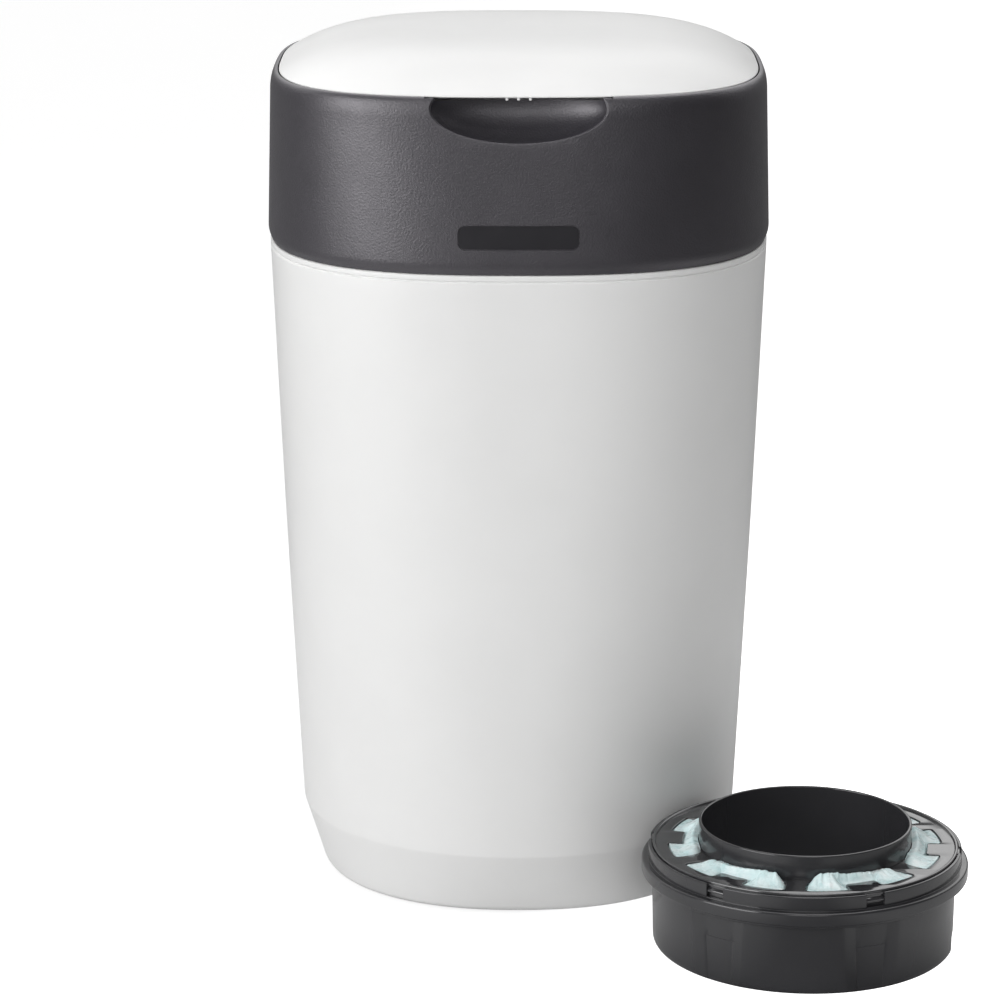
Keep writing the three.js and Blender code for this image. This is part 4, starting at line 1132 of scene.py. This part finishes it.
def arc_wall(name, inner, outer, z, start, end):
    """A stretch of thin upright wall between two angles, with its top edges rounded."""
    corners = [(inner, z[0]), (outer, z[0]), (outer, z[1], 0.6), (inner, z[1], 0.4)]
    section = rounded(corners, 5)
    rows = []
    for step in range(ARC_STEPS + 1):
        turn = start + (end - start) * step / ARC_STEPS
        rows.append([(*polar(radius, turn), up) for radius, up in section])
    thing = grid(name, rows, False)
    reworked(thing.data, close_ends)
    return thing


def cassette_body_object(name):
    rows = []
    for out, up, channelled in body_rows():
        ring = []
        for turn, away in stations(min(up, BEAD_BOTTOM)):
            radius = wall_radius(away, out, up) if channelled else out
            ring.append((*polar(radius, turn), up))
        rows.append(ring)
    shell = grid(name, rows, True)
    walls = []
    z = (BEAD_TOP - 0.5, FLANGE_TOP)
    gap = half_turn(FLANGE_OUTER, NOTCH_WIDTH / 2)
    for i in range(FIXTURES):
        start = NOTCH_ANGLE + i / FIXTURES * math.tau + gap
        end = NOTCH_ANGLE + (i + 1) / FIXTURES * math.tau - gap
        walls.append(arc_wall("flange", FLANGE_INNER, FLANGE_OUTER, z, start, end))
    return merged(name, shell, *walls)


def half_turn(radius, half):
    """The angle that a half width takes up at a radius."""
    return math.asin(half / radius)


def cover_window(index):
    """One opening in the cover, from spoke to spoke, with a tab that reaches into it."""
    middle = NOTCH_ANGLE + index / FIXTURES * math.tau
    inner, outer, tip = BORE_OUTER + 1.0, COVER_RING_INNER, COVER_RING_INNER - TAB_REACH
    right = [(radius, math.pi / FIXTURES - half_turn(radius, half)) for radius, half in SPOKE_SIDE]
    tab = [(outer - back, half_turn(outer, TAB_WIDTH / 2 + more)) for back, more in TAB_ROOT]
    tab += [(tip + on, half_turn(tip, TAB_WIDTH / 2 - less)) for on, less in TAB_TIP]
    ring = [(outer, turn) for turn in np.linspace(right[-1][1], tab[0][1], 8)[1:-1]]
    flank = right + ring + tab
    path = flank + [(tip, turn) for turn in np.linspace(tab[-1][1], -tab[-1][1], 8)[1:-1]]
    path += [(radius, -turn) for radius, turn in reversed(flank)]
    path += [(inner, turn) for turn in np.linspace(-right[0][1], right[0][1], 24)[1:-1]]
    return [polar(radius, middle + turn) for radius, turn in path]


def cassette_cover_object(name):
    sunk = COVER_TOP - COVER_SINK
    windows = [cover_window(i) for i in range(FIXTURES)]
    outlines = [circle(COVER_RIM - 1.2), *windows, circle(BORE_OUTER + 0.15)]
    web = plate("web", outlines, (sunk - COVER_PLATE, sunk), 0.35)
    inner = COVER_RIM - COVER_RIM_WALL
    corners = [
        (inner, BEAD_TOP + FIT_GAP, 0.3),
        (COVER_RIM, BEAD_TOP + FIT_GAP, 0.4),
        (COVER_RIM, COVER_TOP, 0.7),
        (COVER_RIM - 1.3, COVER_TOP, 0.6),
        (COVER_RIM - 2.0, sunk - 0.2, 0.4),
        (inner, sunk - COVER_PLATE, 0.3),
    ]
    snaps = repeated(snap_bars, FIXTURES, NOTCH_ANGLE)
    return merged(name, web, turned("rim", corners), *snaps)


def snap_bars():
    """The hook that shows in each notch of the flange, with a thin ledge above it."""
    half = NOTCH_WIDTH / 2 - FIT_GAP
    root = COVER_RIM - 1.0
    outline = [
        (root, SNAP_BOTTOM),
        (SNAP_REACH, SNAP_BOTTOM),
        (SNAP_REACH, SNAP_BOTTOM + 1.0),
        (root + 1.2, SNAP_TOP),
        (root, SNAP_TOP),
    ]
    hook = wedge("hook", *[[(out, y, up) for out, up in outline] for y in (-half, half)])
    softened(hook, 0.25)
    z = (FLANGE_TOP - 1.1, FLANGE_TOP - 0.2)
    return merged("snap", hook, block("ledge", (root, COVER_RIM + 0.9), (-half, half), z, 0.25))


def window_depth(radius, across):
    """How far inside its window in the cover a place lies."""
    spoke = float(np.interp(radius, [p[0] for p in SPOKE_SIDE], [p[1] for p in SPOKE_SIDE]))
    from_spoke = math.pi / FIXTURES * radius - spoke - abs(across)
    from_ring = COVER_RING_INNER - radius
    from_tab = max(abs(across) - TAB_WIDTH / 2, COVER_RING_INNER - TAB_REACH - radius)
    return min(from_spoke, from_ring, from_tab) - 0.25


def film_height(radius, turn):
    """The film fills each window, swells against the cylinder and lies flat by the tab."""
    pitch = math.tau / FIXTURES
    window = math.floor((turn - NOTCH_ANGLE + pitch / 2) / pitch)
    across = (turn - NOTCH_ANGLE - window * pitch) * radius
    depth = window_depth(radius, across)
    lean = 1.0 if window % 2 else -1.0
    broad = Vector((math.cos(turn) * radius * 0.05, math.sin(turn) * radius * 0.05, 1.7))
    pleat = Vector((turn * 9.0 + radius * 0.02 * lean, radius * 0.03, window * 1.3))
    fine = Vector((turn * 60.0 + radius * 0.09 * lean, radius * 0.1, window * 2.1))
    roll = eased((FILM_SWELL + 2.0 - radius) / 11)
    roll *= 1 - 0.3 * eased((FILM_INNER + 3.5 - radius) / 3.5)
    swell = 5.0 * (1 - 0.55 * eased(0.5 + lean * across / 38)) * roll
    swell += 0.6 * noise.noise(broad) + 0.8 * (0.5 - abs(noise.noise(pleat)) * 1.6)
    swell += 0.5 * noise.noise(fine) * (0.35 + 0.65 * roll)
    edge = COVER_TOP - COVER_SINK - 0.45 - FILM_BASE
    height = FILM_BASE + edge * eased(depth / 0.7) + max(-0.3, swell + 0.2) * eased(depth / 5.0)
    return min(FILM_TOP, height)


def film_object(name):
    turns = ring_angles(ROUND_SIDES * 6)
    rows = []
    for radius in np.linspace(FILM_INNER, FILM_OUTER, FILM_ROWS):
        rows.append([(*polar(radius, turn), film_height(radius, turn)) for turn in turns])
    for radius in (FILM_OUTER, FILM_INNER):
        rows.append([(*polar(radius, turn), CASSETTE_FLOOR + 0.4) for turn in turns])
    return grid(name, rows, True)


def make_cassettes():
    pieces = (
        (cassette_body_object("ring_body"), "cassette_plastic", "cassette_body"),
        (cassette_cover_object("ring_cover"), "cassette_plastic", "cassette_cover"),
        (film_object("folded_film"), "film", "film_pack"),
    )
    copies = (
        ("working_", "", "twister", (0, 0, CASSETTE_BASE)),
        ("spare_", "spare_", "spare", SPARE_PLACE),
    )
    for source, slot, node in pieces:
        for prefix, node_prefix, body, place in copies:
            mesh = source.data.copy()
            mesh.transform(Matrix.Translation(Vector(place) * MM))
            thing = made(f"{prefix}{source.name}", mesh)
            degrees = 50 if slot == "film" else 32
            dressed(thing, body, slot, f"{node_prefix}{node}", degrees=degrees)
            if node == "cassette_cover":
                coloured(thing, "cover_gloss")
        bpy.data.objects.remove(source)


# Twist ring


def make_twist_ring():
    outer = DIAL_BORE + TWIST_WALL
    corners = [
        (SKIRT_BORE, SKIRT_BOTTOM, 0.5),
        (SKIRT_RADIUS, SKIRT_BOTTOM, 0.8),
        (SKIRT_RADIUS, TOOTH_BOTTOM, 0.2),
        (outer, TOOTH_BOTTOM, 0.3),
        (outer, DIAL_BOTTOM, 0.8),
        (DIAL_RADIUS, DIAL_BOTTOM, 1.0),
        (DIAL_RADIUS, DIAL_TOP, 1.6),
        (DIAL_BORE, DIAL_TOP, 0.8),
        (DIAL_BORE, CASSETTE_SEAT, 0.3),
        (SKIRT_BORE, CASSETTE_SEAT, 0.5),
    ]
    ring = turned("dial", corners)
    grip = ((outer, DIAL_RADIUS - 1.6), (-1.5, 1.5), (DIAL_TOP - 2.0, DIAL_TOP + GRIP_RISE), 0.7)
    grips = repeated(lambda: block("grip", *grip), GRIP_COUNT, 0)
    x, z = (SKIRT_BORE - 1.0, SKIRT_BORE + 2.6), (SKIRT_BOTTOM + 3.0, CASSETTE_SEAT - 3.0)
    ribs = repeated(lambda: block("rib", x, (-2.5, 2.5), z, 0.4), FIXTURES, NOTCH_ANGLE)
    pitch = math.tau / TOOTH_COUNT
    outline = []
    for i in range(TOOTH_COUNT):
        turn = FIRST_TOOTH + i * pitch
        outline += [polar(TOOTH_ROOT, turn), polar(TOOTH_TIP, turn + pitch)]
    z = (TOOTH_BOTTOM, TOOTH_BOTTOM + TOOTH_HEIGHT)
    teeth = plate("teeth", [outline, circle(DIAL_BORE + 1.3)], z, 0.1)
    dial = merged("twist_dial", ring, teeth, *grips, *ribs)
    dressed(dial, "twister", "grey_inner", "twist_ring")


# Inner pieces that keep the shape of their solids


def keep_cad(looks):
    for slot, nodes in looks.items():
        for node in nodes:
            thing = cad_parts[node]
            coloured(thing, slot)
            edges = thing.modifiers.new("soft_edges", "BEVEL")
            edges.width = 0.25 * MM
            edges.segments = 2
            edges.limit_method = "ANGLE"
            edges.angle_limit = math.radians(40)
            shaded(thing, 40)


# Stage: world, floor, lamps and camera


def make_world():
    """A white backdrop that gives soft light, and mirrors as a bright band behind."""
    world = bpy.data.worlds.new("studio")
    world.use_nodes = True
    nodes = Nodes(world.node_tree)
    toward = nodes.node("ShaderNodeTexCoord").outputs["Generated"]
    ray = nodes.node("ShaderNodeLightPath").outputs
    diffuse = nodes.tree.nodes["Background"]
    diffuse.inputs["Color"].default_value = WHITE
    aside = nodes.ramp(nodes.axis(toward, "X"), (-1.0, 1.0), (0.4, 0.16))
    nodes.link(aside, diffuse.inputs["Strength"])
    behind = nodes.ramp(nodes.axis(toward, "Y"), (0.0, 0.5), (0.12, 2.2))
    above = nodes.ramp(nodes.axis(toward, "Z"), (0.21, 0.31), (0.1, 1.0))
    shine = nodes.maths("MULTIPLY", behind, above)
    mirrored = nodes.fed("ShaderNodeBackground", shine, sockets=("Strength",))
    seen = nodes.fed("ShaderNodeBackground", Color=WHITE, Strength=1.0)
    sources = (ray["Is Glossy Ray"], diffuse.outputs["Background"], mirrored)
    lit = nodes.fed("ShaderNodeMixShader", *sources)
    result = nodes.fed("ShaderNodeMixShader", ray["Is Camera Ray"], lit, seen)
    nodes.link(result, nodes.tree.nodes["World Output"].inputs["Surface"])
    bpy.context.scene.world = world


def make_floor():
    """A wide pale floor that glows to white in the picture and mirrors little; near the bin it also
    holds painted fill light, a painted reflection and painted bounce light.
    """
    reach = (-4000.0, 4000.0)
    floor = block("floor", reach, reach, (-20.0, -0.05))
    recipe = Recipe("pale_floor")
    set_values(recipe.surface, Roughness=0.7)
    ray = recipe.node("ShaderNodeLightPath").outputs
    x = recipe.axis(recipe.place, "X")
    away = recipe.fed("ShaderNodeVectorMath", recipe.place, result="Value", operation="LENGTH")
    near = recipe.ramp(away, (0.42, 0.75), (1.0, 0.1))

    # Painted bounce light: the floor's colour is lighter to the right, so that it throws more light
    # onto the tub's lower right.
    painted_bounce_tone = recipe.ramp(x, (-0.2, 0.3), (0.3, 0.6))
    patch = recipe.maths("MULTIPLY", painted_bounce_tone, recipe.spread(recipe.noise(3.0, 2.0), 0.98, 1.02))
    # Painted shade in reflections: seen by mirrored rays the floor is darker, and darkest to the
    # right.
    painted_dark_reflection = recipe.ramp(x, (-2.4, 0.4), (0.42, 0.12))
    shade = recipe.mixed(ray["Is Glossy Ray"], patch, painted_dark_reflection)
    recipe.link(shade, recipe.surface.inputs["Base Color"])

    # Painted reflection: near the bin, away from the spare's middle line, the floor glows for
    # mirrored rays only, which lays bright bands on the spare's walls.
    beside = recipe.maths("ABSOLUTE", recipe.maths("SUBTRACT", x, SPARE_ASIDE))
    shine = recipe.maths("MULTIPLY", recipe.ramp(beside, (0.04, 0.12), (0.0, 0.5)), near)
    # Painted fill light: near the bin and to its right the floor glows for rays other than mirrored
    # ones, which lights the tub's lower right.
    painted_fill_glow = recipe.maths("MULTIPLY", recipe.ramp(x, (0.0, 0.2), (0.0, 0.7)), near)
    painted_light_glow = recipe.mixed(ray["Is Glossy Ray"], painted_fill_glow, shine)
    strength = recipe.maths("MULTIPLY_ADD", ray["Is Camera Ray"], FLOOR_GLOW, painted_light_glow)
    glow = recipe.fed("ShaderNodeEmission", strength, sockets=("Strength",))
    both = recipe.fed("ShaderNodeAddShader", recipe.surface.outputs["BSDF"], glow)
    recipe.link(both, recipe.tree.nodes["Material Output"].inputs["Surface"])
    floor.data.materials.append(recipe.material)


def area_light(name, size, power, place, aim_height):
    data = bpy.data.lights.new(name, "AREA")
    data.shape = "RECTANGLE"
    data.size, data.size_y = size
    data.energy = power
    light = made(name, data)
    light.location = place
    toward = Vector((0, 0, aim_height)) - Vector(place)
    light.rotation_euler = toward.to_track_quat("-Z", "Y").to_euler()


def make_camera():
    data = bpy.data.cameras.new("camera")
    data.lens = CAMERA_LENS
    data.sensor_width = 36.0
    data.shift_x = CAMERA_SHIFT
    camera = made("camera", data)
    camera.location = CAMERA_PLACE
    camera.rotation_euler = (math.radians(90 - CAMERA_DOWN), 0.0, 0.0)
    bpy.context.scene.camera = camera


make_tub()
make_collar()
make_lid()
make_deck()
make_cassettes()
make_twist_ring()
keep_cad(
    {
        "steel": (
            *("flap_pin_1", "flap_pin_2", "flap_pin_3", "flap_pin_4"),
            *("cutter_blade", "cutter_screw_1", "cutter_screw_2", "pawl_pin", "pawl_spring"),
        ),
        "grey_inner": ("flap_1", "flap_2", "flap_3", "flap_4", "ratchet_pawl"),
        "white_inner": ("cutter_guard",),
    }
)

bpy.context.scene.view_settings.view_transform = "Standard"
make_world()
make_floor()
for lamp in LAMPS:
    area_light(*lamp)
make_camera()
